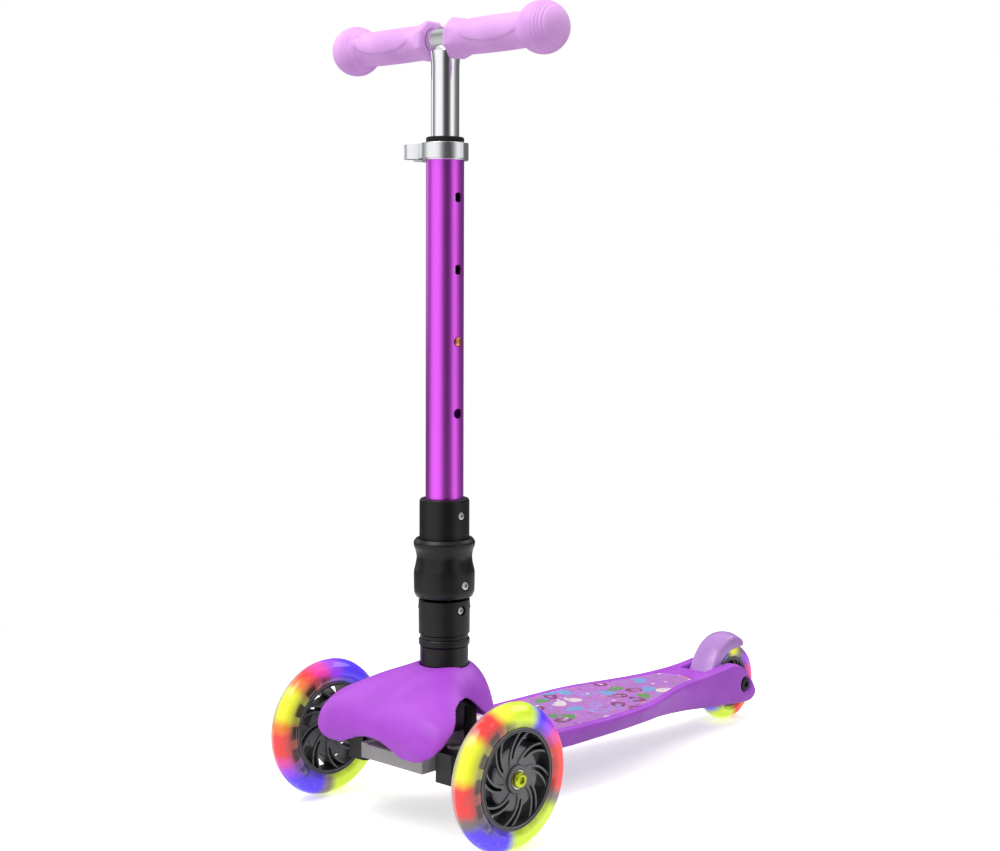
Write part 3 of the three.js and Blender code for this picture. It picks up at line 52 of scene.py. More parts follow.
# a place on the column's axis
def onColumn(up=0):
    return at(0, columnBack, up)


# a colour written in 0 to 255, as the shader takes it
def tint(red, green, blue):
    parts = [part / 255 for part in (red, green, blue)]
    return (*[p / 12.92 if p < 0.04045 else ((p + 0.055) / 1.055) ** 2.4 for p in parts], 1)


# a grey from 0 to 1, as the shader takes it
def grey(level):
    return (level, level, level, 1)


# wraps an output socket, so that shader maths reads as a plain expression
class Value:
    def __init__(self, paint, socket):
        self.paint = paint
        self.socket = socket

    def maths(self, operation, first, second=0.0):
        return self.paint.node("ShaderNodeMath", {"operation": operation}, [first, second])

    def __add__(self, other):
        return self.maths("ADD", self, other)

    def __sub__(self, other):
        return self.maths("SUBTRACT", self, other)

    def __rsub__(self, other):
        return self.maths("SUBTRACT", other, self)

    def __mul__(self, other):
        return self.maths("MULTIPLY", self, other)

    def __truediv__(self, other):
        return self.maths("DIVIDE", self, other)

    def __pow__(self, other):
        return self.maths("POWER", self, other)

    def __lt__(self, other):
        return self.maths("LESS_THAN", self, other)

    def __gt__(self, other):
        return self.maths("GREATER_THAN", self, other)

    __radd__ = __add__
    __rmul__ = __mul__

    def larger(self, other):
        return self.maths("MAXIMUM", self, other)

    # the turn from the other axis towards this one, in full turns and above zero
    def turnFrom(self, other):
        return self.maths("ARCTAN2", self, other) / math.tau + 1.0

    def fraction(self):
        return self.maths("FRACT", self)


# one material, the record's slot that it stands for, and its nodes
class Paint:
    def __init__(self, name, slot=None):
        self.material = bpy.data.materials.new(name)
        self.material.use_nodes = True
        self.tree = self.material.node_tree
        self.shader = self.tree.nodes["Principled BSDF"]
        self.slot = slot

    def feed(self, socket, value):
        if isinstance(value, Value):
            self.tree.links.new(value.socket, socket)
        else:
            socket.default_value = value

    # any node: its settings first, then what goes into its sockets
    def node(self, kind, settings=None, sockets=(), output=0):
        made = self.tree.nodes.new(kind)
        for key, value in (settings or {}).items():
            if key == "stops":
                ramp = made.color_ramp
                while len(ramp.elements) > 1:
                    ramp.elements.remove(ramp.elements[-1])
                ramp.elements[0].position = value[0][0]
                ramp.elements[0].color = value[0][1]
                for place, colour in value[1:]:
                    ramp.elements.new(place).color = colour
            elif key == "interpolation":
                made.color_ramp.interpolation = value
            else:
                setattr(made, key, value)
        pairs = sockets.items() if isinstance(sockets, dict) else enumerate(sockets)
        for key, value in pairs:
            self.feed(made.inputs[key], value)
        return Value(self, made.outputs[output])

    def set(self, **sockets):
        for key, value in sockets.items():
            self.feed(self.shader.inputs[key.replace("_", " ")], value)

    # a place that is shifted and stretched
    def mapped(self, place, shift=(0, 0, 0), stretch=(1, 1, 1)):
        return self.node("ShaderNodeMapping", sockets={"Vector": place, "Location": shift, "Scale": stretch})

    def coordinates(self):
        return self.node("ShaderNodeTexCoord", output="Object")

    # the numbers that a vector or a colour is made of
    def parts(self, whole, kind="ShaderNodeSeparateXYZ"):
        return [Value(self, output) for output in self.node(kind, sockets=[whole]).socket.node.outputs]

    def noise(self, place, scale, detail=2.0, roughness=0.5):
        return self.node("ShaderNodeTexNoise", sockets={
            "Vector": place, "Scale": scale, "Detail": detail, "Roughness": roughness})

    def mix(self, share, first, second):
        return self.node("ShaderNodeMix", {"data_type": "RGBA"}, {0: share, 6: first, 7: second}, 2)

    # a soft step from 0 to 1 as a value goes from low to high
    def step(self, value, low, high):
        return self.node("ShaderNodeMapRange", {"interpolation_type": "SMOOTHSTEP"},
                         {"Value": value, "From Min": low, "From Max": high})

    # a ramp of colours by degrees, which ends as it starts
    def roundRamp(self, share, inks):
        stops = [(degrees / 360, ink) for degrees, ink in [*inks, (360, inks[0][1])]]
        return self.node("ShaderNodeValToRGB", {"stops": stops, "interpolation": "EASE"}, [share])

    def surface(self, shader):
        self.feed(self.tree.nodes["Material Output"].inputs["Surface"], shader)

    def bump(self, height, distance, strength=1.0):
        self.set(Normal=self.node("ShaderNodeBump", sockets={
            "Strength": strength, "Distance": distance, "Height": height}))


def only(*chosen):
    if bpy.context.mode != "OBJECT":
        bpy.ops.object.mode_set(mode="OBJECT")
    bpy.ops.object.select_all(action="DESELECT")
    for item in chosen:
        item.select_set(True)
    if chosen:
        bpy.context.view_layer.objects.active = chosen[0]


def finishWith(piece, kind, **settings):
    only(piece)
    bpy.ops.object.modifier_add(type=kind)
    modifier = piece.modifiers[-1]
    for key, value in settings.items():
        setattr(modifier, key, value)
    bpy.ops.object.modifier_apply(modifier=modifier.name)
    return piece


def combine(piece, tool, operation="DIFFERENCE"):
    finishWith(piece, "BOOLEAN", object=tool, operation=operation, solver="MANIFOLD")
    bpy.data.objects.remove(tool)
    return piece


# works on the whole mesh in edit mode
def editAll(piece, *steps):
    only(piece)
    bpy.ops.object.mode_set(mode="EDIT")
    bpy.ops.mesh.select_all(action="SELECT")
    for step in steps:
        step()
    bpy.ops.object.mode_set(mode="OBJECT")
    return piece


weld = lambda: bpy.ops.mesh.remove_doubles(threshold=finishing["weld"] * mm)
faceOut = lambda: bpy.ops.mesh.normals_make_consistent(inside=False)
closeHoles = lambda: bpy.ops.mesh.fill_holes(sides=0)


def shadeSmooth(piece, under):
    only(piece)
    bpy.ops.object.shade_smooth_by_angle(angle=math.radians(under))


# edges are rounded, and flats stay flat in the shading
def soften(piece, width, segments=2, angle=30):
    finishWith(piece, "BEVEL", limit_method="ANGLE", angle_limit=math.radians(angle),
               width=width * mm, segments=segments)
    shadeSmooth(piece, finishing["smoothUnder"])
    return finishWith(piece, "WEIGHTED_NORMAL", weight=finishing["flatWeight"], keep_sharp=True)


# one closed skin with melted edges, for moulded shells
def melt(piece, voxel, rounds):
    finishWith(piece, "REMESH", mode="VOXEL", voxel_size=voxel * mm)
    finishWith(piece, "SMOOTH", factor=0.5, iterations=rounds)
    only(piece)
    bpy.ops.object.shade_smooth()
    return piece


# a grid is laid over rows of points, and closed round and at its ends
def skinOver(name, rows):
    rows = [[*row, row[0]] for row in rows]
    only()
    bpy.ops.mesh.primitive_grid_add(x_subdivisions=len(rows[0]) - 1, y_subdivisions=len(rows) - 1, size=1)
    piece = bpy.context.object
    piece.name = name
    piece.data.vertices.foreach_set("co", np.array(rows, np.float32).ravel())
    return editAll(piece, weld, closeHoles, faceOut)


# a chain of vertices is extruded along the profile of (radius, along), and spun
def turnedPiece(name, profile, centre, axis, steps=96):
    # a profile that starts off the axis closes on itself
    if profile[0][0] > 0:
        profile = [*profile, profile[0]]
    out, along = {"x": (Vector((0, 0, 1)), Vector((1, 0, 0))),
                  "z": (Vector((1, 0, 0)), Vector((0, 0, 1)))}[axis]
    points = [(out * radius + along * far) * mm for radius, far in profile]
    only()
    bpy.ops.mesh.primitive_plane_add(size=mm, location=points[0])
    bpy.ops.object.transform_apply(location=True)
    piece = bpy.context.object
    piece.name = name
    bpy.ops.object.mode_set(mode="EDIT")
    bpy.ops.mesh.select_all(action="SELECT")
    bpy.ops.mesh.merge(type="CENTER")
    for before, after in zip(points, points[1:]):
        bpy.ops.mesh.extrude_region_move(TRANSFORM_OT_translate={"value": after - before})
    bpy.ops.mesh.select_all(action="SELECT")
    bpy.ops.mesh.spin(steps=steps, angle=math.tau, center=(0, 0, 0), axis=along)
    bpy.ops.mesh.select_all(action="SELECT")
    weld()
    faceOut()
    bpy.ops.transform.translate(value=centre)
    bpy.ops.object.mode_set(mode="OBJECT")
    return piece


def rodPiece(name, radius, low, high, centre, axis, steps=48):
    profile = [(0, low), (radius, low), (radius, high), (0, high)]
    return turnedPiece(name, profile, centre, axis, steps)


def blockPiece(name, low, high):
    only()
    middle = (low + high) / 2
    bpy.ops.mesh.primitive_cube_add(size=1, location=middle, scale=high - low)
    bpy.ops.object.transform_apply(location=True, rotation=True, scale=True)
    bpy.context.object.name = name
    return bpy.context.object


def copyOf(piece, name, shift=(0, 0, 0), scale=(1, 1, 1)):
    twin = bpy.data.objects.new(name, piece.data.copy())
    bpy.context.scene.collection.objects.link(twin)
    twin.data.transform(Matrix.Translation(shift) @ Matrix.Diagonal((*scale, 1)))
    return editAll(twin, faceOut) if math.prod(scale) < 0 else twin


# values between a table's rows, smooth and with no overshoot; the first column says where
def easedRows(table, places):
    table = np.array(table, float)
    where, values = table[:, 0], table[:, 1:]
    span = np.diff(where)[:, None]
    slope = np.diff(values, axis=0) / span
    same = slope[:-1] * slope[1:] > 0
    middle = np.where(same, 2 * slope[:-1] * slope[1:] / np.where(same, slope[:-1] + slope[1:], 1), 0)
    tangent = np.vstack([slope[:1], middle, slope[-1:]])
    places = np.clip(places, where[0], where[-1])
    index = np.clip(np.searchsorted(where, places, side="right") - 1, 0, len(where) - 2)
    width = span[index]
    t = ((places - where[index]) / width[:, 0])[:, None]
    start, end = values[index], values[index + 1]
    return (start * (2 * t ** 3 - 3 * t ** 2 + 1) + tangent[index] * width * (t ** 3 - 2 * t ** 2 + t)
            + end * (3 * t ** 2 - 2 * t ** 3) + tangent[index + 1] * width * (t ** 3 - t ** 2))


# a smooth line through points
def smoothLine(points, count):
    table = [[i, *point] for i, point in enumerate(points)]
    return easedRows(table, np.linspace(0, len(points) - 1, count))


# a line through points, with its own points spaced evenly
def evenly(points, count):
    points = np.array(points, float)
    far = np.concatenate([[0], np.cumsum(np.linalg.norm(np.diff(points, axis=0), axis=1))])
    places = np.linspace(0, far[-1], count)
    return np.stack([np.interp(places, far, points[:, i]) for i in range(points.shape[1])], axis=1)


# half an outline and its mirror image, with no point on the middle line twice
def bothSides(half, middle=0):
    other = [[-n if i == middle else n for i, n in enumerate(point)] for point in reversed(half)
             if point[middle]]
    return [*half, *other]


# an opening's upper edge, closed straight down to a level
def closedBelow(edge, level):
    return [*edge, (edge[-1][0], level), (edge[0][0], level)]


# an outline of (x, y), (x, z) or (y, z) points, pushed along the axis that is left
def pushedPiece(name, outline, axis, low, high):
    spots = {"x": lambda p, d: at(d, *p), "y": lambda p, d: at(p[0], d, p[1]),
             "z": lambda p, d: at(*p, d)}[axis]
    return skinOver(name, [[spots(p, low) for p in outline], [spots(p, high) for p in outline]])


def wear(piece, *chosen):
    piece.data.materials.clear()
    for look in chosen:
        piece.data.materials.append(look.material)


# a piece gets its finish unless it has one, its body, and the nodes it stands for
def finished(piece, look, body, *stands):
    if not any(piece.data.materials):
        wear(piece, look)
    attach(piece, body)
    if stands:
        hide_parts(*stands)
    return piece


# slot, colour and its shade, roughness, fineness and depth of the grain, shine
plasticLooks = {
    "purple": ("purple_plastic", (182, 84, 222), (171, 75, 212), 0.4, 1500, 0.02, 0.3),
    "lilac": ("lilac_plastic", (194, 146, 220), (180, 131, 208), 0.25, 1700, 0.01, 0.5),
    "black": ("black_plastic", (14, 14, 15), (9, 9, 10), 0.34, 2100, 0.035, 0.3),
    "grey": ("grey_plastic", (204, 203, 202), (190, 189, 189), 0.5, 1800, 0.035, 0.5),
    # the hub's two greys are painted light and shade: the darker one for its walls, the lighter one for faces
    # that look outwards
    "hub": ("hub_plastic", (72, 72, 75), (48, 48, 50), 0.38, 2000, 0.025, 0.35),
    "hubLitFaces": ("hub_plastic", (112, 112, 116), (98, 98, 102), 0.34, 2000, 0.015, 0.4),
    "lamp": ("light_plastic", (48, 42, 44), (36, 30, 34), 0.3, 1500, 0.02, 0.5),
    "rubber": ("dark_rubber", (24, 24, 25), (18, 18, 19), 0.72, 2400, 0.05, 0.3),
    "grip": ("grip_rubber", (240, 182, 252), (226, 164, 242), 0.55, 2300, 0.05, 0.5),
}
plasticDetail = {"clouds": 34, "marks": 95, "speckle": 0.16, "markRoughness": 0.09,
                 "grainRoughness": 0.05, "relief": 0.55}


# moulded plastic and rubber: cloudy colour, a fine cast grain and handling marks
def mouldedLook(name):
    slot, colour, shade, rough, fineness, depth, shine = plasticLooks[name]
    detail = plasticDetail
    paint = Paint(name, slot)
    place = paint.coordinates()
    cloud = paint.step(paint.noise(place, detail["clouds"], 3), 0.3, 0.7)
    grain = paint.noise(place, fineness, 3, 0.62)
    speckle = paint.noise(place, fineness / 5, 2, 0.6)
    marks = paint.step(paint.noise(place, detail["marks"], 5, 0.7), 0.5, 0.78)
    clouded = paint.mix(cloud, tint(*colour), tint(*shade))
    paint.set(Base_Color=paint.mix(speckle * detail["speckle"], clouded, tint(*shade)),
              Roughness=rough + marks * detail["markRoughness"] + grain * detail["grainRoughness"],
              Specular_IOR_Level=shine)
    paint.bump(grain + speckle * 0.7, depth * mm, detail["relief"])
    return paint


# slot, colour, roughness, how much the streaks add to it, their stretch
metalLooks = {
    "chrome": ("chrome", (232, 233, 236), 0.07, 0.05, (1, 1, 0.04)),
    "polished": ("polished_metal", (226, 227, 230), 0.16, 0.14, (1, 1, 6)),
    "steel": ("steel", (178, 178, 180), 0.26, 0.16, (1, 1, 1)),
    "darkSteel": ("steel", (46, 44, 48), 0.42, 0.16, (1, 1, 1)),
    "anodised": ("purple_metal", (224, 96, 240), 0.26, 0.1, (1, 1, 0.02)),
    "brass": ("yellow_metal", (176, 186, 50), 0.26, 0.18, (1, 1, 1)),
    "copper": ("copper", (214, 140, 84), 0.22, 0.12, (1, 1, 1)),
}
metalDetail = {"streaks": 1400, "clouds": 60, "worn": 0.86, "wear": 0.5, "cloudRoughness": 0.04,
               "depth": 0.004, "relief": 0.35}


# metal: drawn or tumbled streaks, tiny scratches and a slightly cloudy polish
def metalLook(name):
    slot, colour, rough, scratch, stretch = metalLooks[name]
    detail = metalDetail
    paint = Paint(name, slot)
    place = paint.mapped(paint.coordinates(), stretch=stretch)
    streaks = paint.noise(place, detail["streaks"], 4, 0.6)
    cloud = paint.noise(place, detail["clouds"], 2)
    worn = [part * detail["worn"] for part in tint(*colour)[:3]] + [1]
    paint.set(Base_Color=paint.mix(paint.step(streaks, 0.35, 0.8) * detail["wear"], tint(*colour), worn),
              Metallic=1.0, Roughness=rough + streaks * scratch + cloud * detail["cloudRoughness"])
    paint.bump(streaks, detail["depth"] * mm, detail["relief"])
    return paint


# colours of the lamps seen in the tyres
glowInks = {"lime": (222, 250, 56), "yellow": (248, 252, 58), "orange": (250, 132, 52),
            "red": (250, 60, 60), "pink": (240, 72, 176), "violet": (160, 70, 246),
            "blue": (90, 58, 252), "clear": (128, 116, 116)}
# where each tyre shows them, in degrees clockwise from the top, seen from the rider's left
glowRings = {
    "left": [(0, "lime"), (16, "lime"), (31, "blue"), (44, "violet"), (57, "pink"), (70, "red"),
             (104, "red"), (118, "clear"), (132, "lime"), (182, "lime"), (197, "blue"), (232, "blue"),
             (244, "clear"), (254, "red"), (272, "red"), (285, "yellow"), (308, "yellow"),
             (320, "red"), (334, "red"), (347, "yellow")],
    "right": [(0, "violet"), (18, "blue"), (36, "blue"), (56, "clear"), (96, "clear"), (126, "lime"),
              (176, "lime"), (190, "clear"), (202, "blue"), (226, "blue"), (238, "violet"),
              (248, "pink"), (258, "red"), (272, "red"), (281, "orange"), (291, "yellow"),
              (310, "yellow"), (320, "orange"), (330, "red"), (346, "pink")],
    "rear": [(0, "yellow"), (26, "clear"), (48, "violet"), (76, "pink"), (100, "red"), (136, "orange"),
             (166, "red"), (184, "lime"), (216, "lime"), (238, "blue"), (262, "red"), (300, "yellow"),
             (332, "blue")],
}
tyreLook = {"clear": (228, 220, 224), "deep": (92, 84, 76), "lamp": (46, 42, 42), "lamps": 15,
            "fill": 0.34, "glow": 0.74, "clearness": 0.1, "rough": 0.1, "swirl": (60, 0.025),
            # ends of the soft steps: across the tread, out from the hub, and round each lamp block
            "edgeAcross": (-0.5, 0.12), "edgeOut": (0.6, 0.9), "edge": 0.55, "blockOut": (0.42, 0.56),
            "blockStart": (0.16, 0.24), "blockEnd": (0.74, 0.82),
            "streaks": 240, "gleam": 0.3, "murk": 0.22}


# clear tyre: lamp colours spread through it, dark lamp blocks towards the hub, a pale tread edge
def clearLook(name, centre, radius, seat, half):
    look = tyreLook
    paint = Paint("clearTyre_" + name, "clear_tyre")
    place = paint.mapped(paint.coordinates(), [-c for c in centre])
    across, back, up = paint.parts(place)
    clear, brown, lamp = (tint(*look[ink]) for ink in ("clear", "deep", "lamp"))
    fineness, push = look["swirl"]
    swirl = paint.noise(place, fineness, 3) - 0.5
    turn = back.turnFrom(up)
    inks = [(degrees, tint(*glowInks[ink])) for degrees, ink in glowRings[name]]
    colours = paint.roundRamp((turn + swirl * push).fraction(), inks)
    out = (back ** 2 + up ** 2) ** 0.5
    # towards the front of the wheel the dark part reaches further out
    ahead = paint.step((up * 0.26 - back * 0.97) / out, 0.1, 0.8)
    level = (out + swirl * 2.0 * mm - seat * mm) / ((radius - seat) * mm)
    lit = paint.step(level, ahead * 0.3 + 0.02, 0.34 + ahead * 0.58)
    side = (across + swirl * 3 * mm) / (half * mm)
    edge = (1 - paint.step(side, *look["edgeAcross"])) * paint.step(level, *look["edgeOut"])
    tab = (turn * look["lamps"]).fraction()
    block = paint.step(tab, *look["blockStart"]) * (1 - paint.step(tab, *look["blockEnd"]))
    block = block * (1 - paint.step(level, *look["blockOut"]))
    inner = paint.mix(0.6 - ahead * 0.35, brown, colours)
    inner = paint.mix(block * (0.2 + ahead * 0.7), inner, lamp)
    body = paint.mix(edge * look["edge"], paint.mix(lit, inner, colours), clear)
    streaks = paint.noise(paint.mapped(place, stretch=(1.0, 0.35, 0.35)), look["streaks"], 4, 0.62)
    body = paint.mix(paint.step(streaks, 0.58, 0.78) * look["gleam"], body, clear)
    body = paint.mix(paint.step(streaks, 0.46, 0.24) * look["murk"], body, brown)
    haze = paint.noise(place, 260, 4, 0.6)
    paint.set(Base_Color=paint.mix(look["fill"], grey(0), body), Roughness=look["rough"] + haze * 0.08,
              Emission_Color=paint.mix(1 - edge * look["edge"], grey(0), body),
              Emission_Strength=look["glow"])
    paint.bump(haze, 0.03 * mm, 0.3)
    glass = paint.node("ShaderNodeBsdfPrincipled", sockets={
        "Base Color": clear, "Roughness": 0.12, "Transmission Weight": 1.0, "IOR": 1.45})
    share = edge * look["clearness"] + (1 - lit) * 0.08
    shader = Value(paint, paint.shader.outputs[0])
    paint.surface(paint.node("ShaderNodeMixShader", sockets=[share, shader, glass]))
    return paint


panelArt = {"ground": (205, 132, 222), "groundShade": (188, 116, 214), "tile": 21, "gloss": 0.22,
            "inks": [(92, 168, 62), (104, 186, 238), (250, 244, 236), (240, 160, 52), (134, 44, 84),
                     (176, 156, 246)],
            # each layer's fineness and shift, and the size and stretch of its motifs
            "layers": [(1.0, (0.0, 0.0, 0.0), 0.36, 0.62), (1.7, (0.31, 0.17, 0.0), 0.2, 1.0),
                       (2.6, (0.13, 0.41, 0.0), 0.13, 1.0)]}


# printed film: scattered paper-cut drops, dots and rings in six inks
def panelLook():
    paint = Paint("panelPrint", "panel_film")
    place = paint.coordinates()
    cloud = paint.noise(place, 26, 1)
    ground = paint.mix(cloud, tint(*panelArt["ground"]), tint(*panelArt["groundShade"]))
    inks = panelArt["inks"]
    stops = [(i / len(inks), tint(*ink)) for i, ink in enumerate(inks)]
    art = ground
    for finer, shift, size, stretch in panelArt["layers"]:
        scale = 1 / (panelArt["tile"] * mm) * finer
        moved = paint.mapped(place, shift)
        flat = paint.node("ShaderNodeVectorMath", {"operation": "MULTIPLY"}, [moved, (scale, scale, 0)])
        cells = paint.node("ShaderNodeTexVoronoi", {"voronoi_dimensions": "2D"},
                           {"Vector": flat, "Scale": 1.0, "Randomness": 0.72})
        made = cells.socket.node.outputs
        red, green, blue = paint.parts(Value(paint, made["Color"]), "ShaderNodeSeparateColor")
        away = paint.node("ShaderNodeVectorMath", {"operation": "SUBTRACT"},
                          [flat, Value(paint, made["Position"])])
        turned = paint.node("ShaderNodeVectorRotate", {"rotation_type": "Z_AXIS"},
                            {"Vector": away, "Angle": green * math.tau})
        along, across = paint.parts(turned)[:2]
        # a drop is narrower towards one end
        lean = along * 0.9 + 1.0
        far = ((along * stretch) ** 2 + (across * lean) ** 2) ** 0.5
        disc = far < size * 0.82
        core = (far < size * 0.4) * (blue > 0.55)
        shown = disc * (1 - core) * (red > 0.22)
        ink = paint.node("ShaderNodeValToRGB", {"stops": stops, "interpolation": "CONSTANT"}, [blue])
        art = paint.mix(shown, art, ink)
    dots = paint.noise(place, 3200, 1)
    faint = paint.mix(0.1, art, ground)
    paint.set(Base_Color=paint.mix(dots * 0.12, faint, ground),
              Roughness=panelArt["gloss"] + paint.noise(place, 180, 4) * 0.14, Coat_Weight=0.25)
    paint.bump(paint.noise(place, 900, 3), 0.01 * mm, 0.3)
    return paint


looks = {name: mouldedLook(name) for name in plasticLooks}
looks.update({name: metalLook(name) for name in metalLooks})
looks["panel"] = panelLook()
print("finishes made,", len(looks))


wheelSizes = {
    "front": {"radius": 60, "width": 24, "seat": 41.4, "spokes": 8},
    "rear": {"radius": 40, "width": 22, "seat": 26.4, "spokes": 6},
}
tyreShape = {"side": [(0, 0.8), (0.25, 0.98), (0.6, 0.93), (0.84, 0.64), (0.96, 0.32), (1, 0)],
             "channel": 5.5, "channelDepth": 5.8, "seam": 0.22, "seamHalf": 0.5}
hubShape = {"gap": 0.3, "inset": 1.5, "rim": 3.6, "boss": 11.5, "proud": 0.3, "pocket": 8.3,
            "bearing": 5.3, "bore": 6, "turn": 0.62, "widths": (7.2, 7.9, 11.8), "depth": 0.8,
            "slot": (2.3, 4.1, 6.6), "slotStart": 0.24, "web": 0.7, "webHalf": 7.2, "steps": 26}


def tyrePiece(name, size):
    half, depth = size["width"] / 2, size["radius"] - size["seat"]
    side = [(size["seat"] + depth * up, half * out) for up, out in tyreShape["side"]]
    around = smoothLine(bothSides(side, 1), 72)
    # the mould's seam stands proud round the middle of the tread
    seam = tyreShape["seam"]
    tread = [(r - seam * (1 if abs(x) > tyreShape["seamHalf"] else 0), x) for r, x in around]
    channel, top = tyreShape["channel"], size["seat"] + tyreShape["channelDepth"]
    seat = tread[0][0]
    under = [(seat, -channel), (top, -channel), (top, channel), (seat, channel)]
    return turnedPiece(name, under + tread, (0, 0, 0), "x", 128)


# a swept bar across the hub, for widths at its start, halfway and at its end
def sweptPiece(name, low, high, widths, depth, bendAt):
    first, middle, last = widths
    edges = [], []
    for share in np.linspace(0, 1, hubShape["steps"]):
        radius = low + (high - low) * share
        waist = ((first + last) / 2 - middle) * 4 * share * (1 - share)
        across = (first * (1 - share) + last * share - waist) / 2 / radius
        for edge, side in zip(edges, (-1, 1)):
            bend = bendAt(radius) + side * across
            edge.append((radius * math.cos(bend) * mm, radius * math.sin(bend) * mm))
    outline = [*edges[0], *reversed(edges[1])]
    return skinOver(name, [[(x * mm, y, z) for y, z in outline] for x in (-depth, depth)])


def hubPiece(name, size):
    shape = hubShape
    radius = size["seat"] - shape["gap"]
    half = size["width"] / 2 - shape["inset"]
    inner = radius - shape["rim"]
    groove = half - 0.6
    lip = [(inner, half - 0.35), (inner + 0.35, half), (inner + 0.9, half), (inner + 1.2, groove),
           (radius - 1.7, groove), (radius - 1.4, half), (radius - 0.8, half), (radius, half - 0.9)]
    rim = turnedPiece(name, bothSides(lip, 1), (0, 0, 0), "x", 144)
    end = half + shape["proud"]
    shoulder = end - shape["bearing"]
    boss, pocket, bore = shape["boss"], shape["pocket"], shape["bore"]
    side = [(bore, shoulder), (pocket, shoulder), (pocket, end - 0.3), (pocket + 0.3, end),
            (boss - 0.8, end), (boss, end - 0.8), (boss + 0.35, end - 3)]
    core = turnedPiece("core", bothSides(side, 1), (0, 0, 0), "x")
    webEdge, webHalf = inner * shape["web"], shape["webHalf"]
    plate = [(boss - 1, webHalf + 1.2), (boss + 3, webHalf + 0.3), (webEdge - 1.5, webHalf),
             (webEdge, webHalf - 1.5)]
    fan = turnedPiece("web", bothSides(plate, 1), (0, 0, 0), "x")
    length, depth = inner - boss, half * shape["depth"]
    slots = []
    for i in range(size["spokes"]):
        angle = math.tau * (i + 0.5) / size["spokes"]
        bendAt = lambda r: angle + shape["turn"] * ((r - boss + 1) / length) ** 1.25
        combine(fan, sweptPiece("spoke", boss - 1, inner + 1, shape["widths"], depth, bendAt), "UNION")
        slots.append(sweptPiece("slot", boss + length * shape["slotStart"], inner, shape["slot"],
                                depth + 2, bendAt))
    for slot in slots:
        combine(fan, slot)
    combine(combine(rim, core, "UNION"), fan, "UNION")
    wear(rim, looks["hub"], looks["hubLitFaces"])
    # faces that look outwards along the axle get the lighter grey as a painted highlight, and the walls keep
    # the darker grey as painted shade
    for face in rim.data.polygons:
        face.material_index = 1 if abs(face.normal.x) > 0.5 else 0
    return soften(rim, 0.32, 2, 40)


wheelPlaces = {"left": at(112, 0, 60), "right": at(-112, 0, 60), "rear": at(0, 443, 40)}


def addWheels():
    for kind, sides in (("front", ("left", "right")), ("rear", ("rear",))):
        size = wheelSizes[kind]
        tyre, hub = tyrePiece("tyre", size), hubPiece("hub", size)
        soften(tyre, 0.2, 1, 40)
        for side in sides:
            node = "rear" if kind == "rear" else "front_" + side
            body = "back_wheel" if kind == "rear" else side + "_wheel"
            clear = clearLook(side, wheelPlaces[side], size["radius"], size["seat"], size["width"] / 2)
            # the same hub is fitted turned round on the left
            facing = (-1, -1, 1) if side == "left" else (1, 1, 1)
            finished(copyOf(tyre, node + "_clear_tyre", wheelPlaces[side]), clear, body, node + "_tyre")
            finished(copyOf(hub, node + "_spoked_hub", wheelPlaces[side], facing), looks["hub"], body,
                     node + "_hub")
        bpy.data.objects.remove(tyre)
        bpy.data.objects.remove(hub)
    print("wheels made")


boltShape = {"head": 6.6, "seat": 123.1, "top": 126.7, "socket": 3.1, "socketDepth": 2.4, "shaft": 4,
             "tip": 69.3}


def addAxleBolts():
    head, seat, top, tip = (boltShape[name] for name in ("head", "seat", "top", "tip"))
    shaft = boltShape["shaft"]
    profile = [(0, tip), (shaft, tip), (shaft, seat), (head - 0.3, seat), (head, seat + 0.3),
               (head, seat + 1.7), (head * 0.93, seat + 2.6), (head * 0.8, top - 0.3), (head * 0.62, top),
               (0, top)]
    axle = at(0, 0, wheelSizes["front"]["radius"])
    bolt = turnedPiece("bolt", profile, axle, "x", 72)
    # the socket is a hexagon
    low = top - boltShape["socketDepth"]
    combine(bolt, rodPiece("socket", boltShape["socket"], low, top + 2, axle, "x", 6))
    soften(bolt, 0.15, 2, 40)
    finished(copyOf(bolt, "left_axle_bolt"), looks["brass"], "left_knuckle", "axle_bolt_left")
    finished(copyOf(bolt, "right_axle_bolt", scale=(-1, 1, 1)), looks["brass"], "right_knuckle",
             "axle_bolt_right")
    bpy.data.objects.remove(bolt)


addWheels()
addAxleBolts()


hoodShape = {
    "front": -49, "rear": 80, "foot": 70, "top": 132.5, "half": 80, "wall": 2.6, "neck": (21.1, 144),
    "archDepth": 38, "voxel": 0.95, "rounds": 7,
    # how far back, half width, height of the crown, squareness of the section
    "rows": [(0, 0.775, 0.23, 3), (0.016, 0.85, 0.34, 3.3), (0.047, 0.925, 0.455, 3.7),
             (0.1, 0.975, 0.57, 3.8), (0.194, 1, 0.68, 3.7), (0.302, 0.962, 0.785, 3.1),
             (0.411, 0.85, 0.88, 2.9), (0.519, 0.712, 0.952, 2.6), (0.628, 0.612, 1, 2.4),
             (0.736, 0.562, 1, 2.3), (0.83, 0.488, 0.945, 2.2), (0.907, 0.388, 0.815, 2.1),
             (0.969, 0.25, 0.625, 2), (1, 0.125, 0.43, 2)],
    "frontEdge": [(1.025, 0.384), (0.969, 0.248), (0.931, 0.168), (0.875, 0.104), (0.815, 0.064),
                  (0.725, 0.019), (0.64, -0.002), (0.55, -0.01), (0.488, -0.003), (0.425, 0.021),
                  (0.325, 0.072), (0.225, 0.12), (0.12, 0.155), (0, 0.165)],
    "sideArch": [(0.03, 0.06), (0.05, 0.155), (0.093, 0.242), (0.17, 0.378), (0.224, 0.484),
                 (0.29, 0.585), (0.35, 0.637), (0.41, 0.655), (0.486, 0.64), (0.54, 0.598),
                 (0.587, 0.54), (0.643, 0.445), (0.698, 0.352), (0.767, 0.24), (0.86, 0.128),
                 (1.08, 0.064)],
}


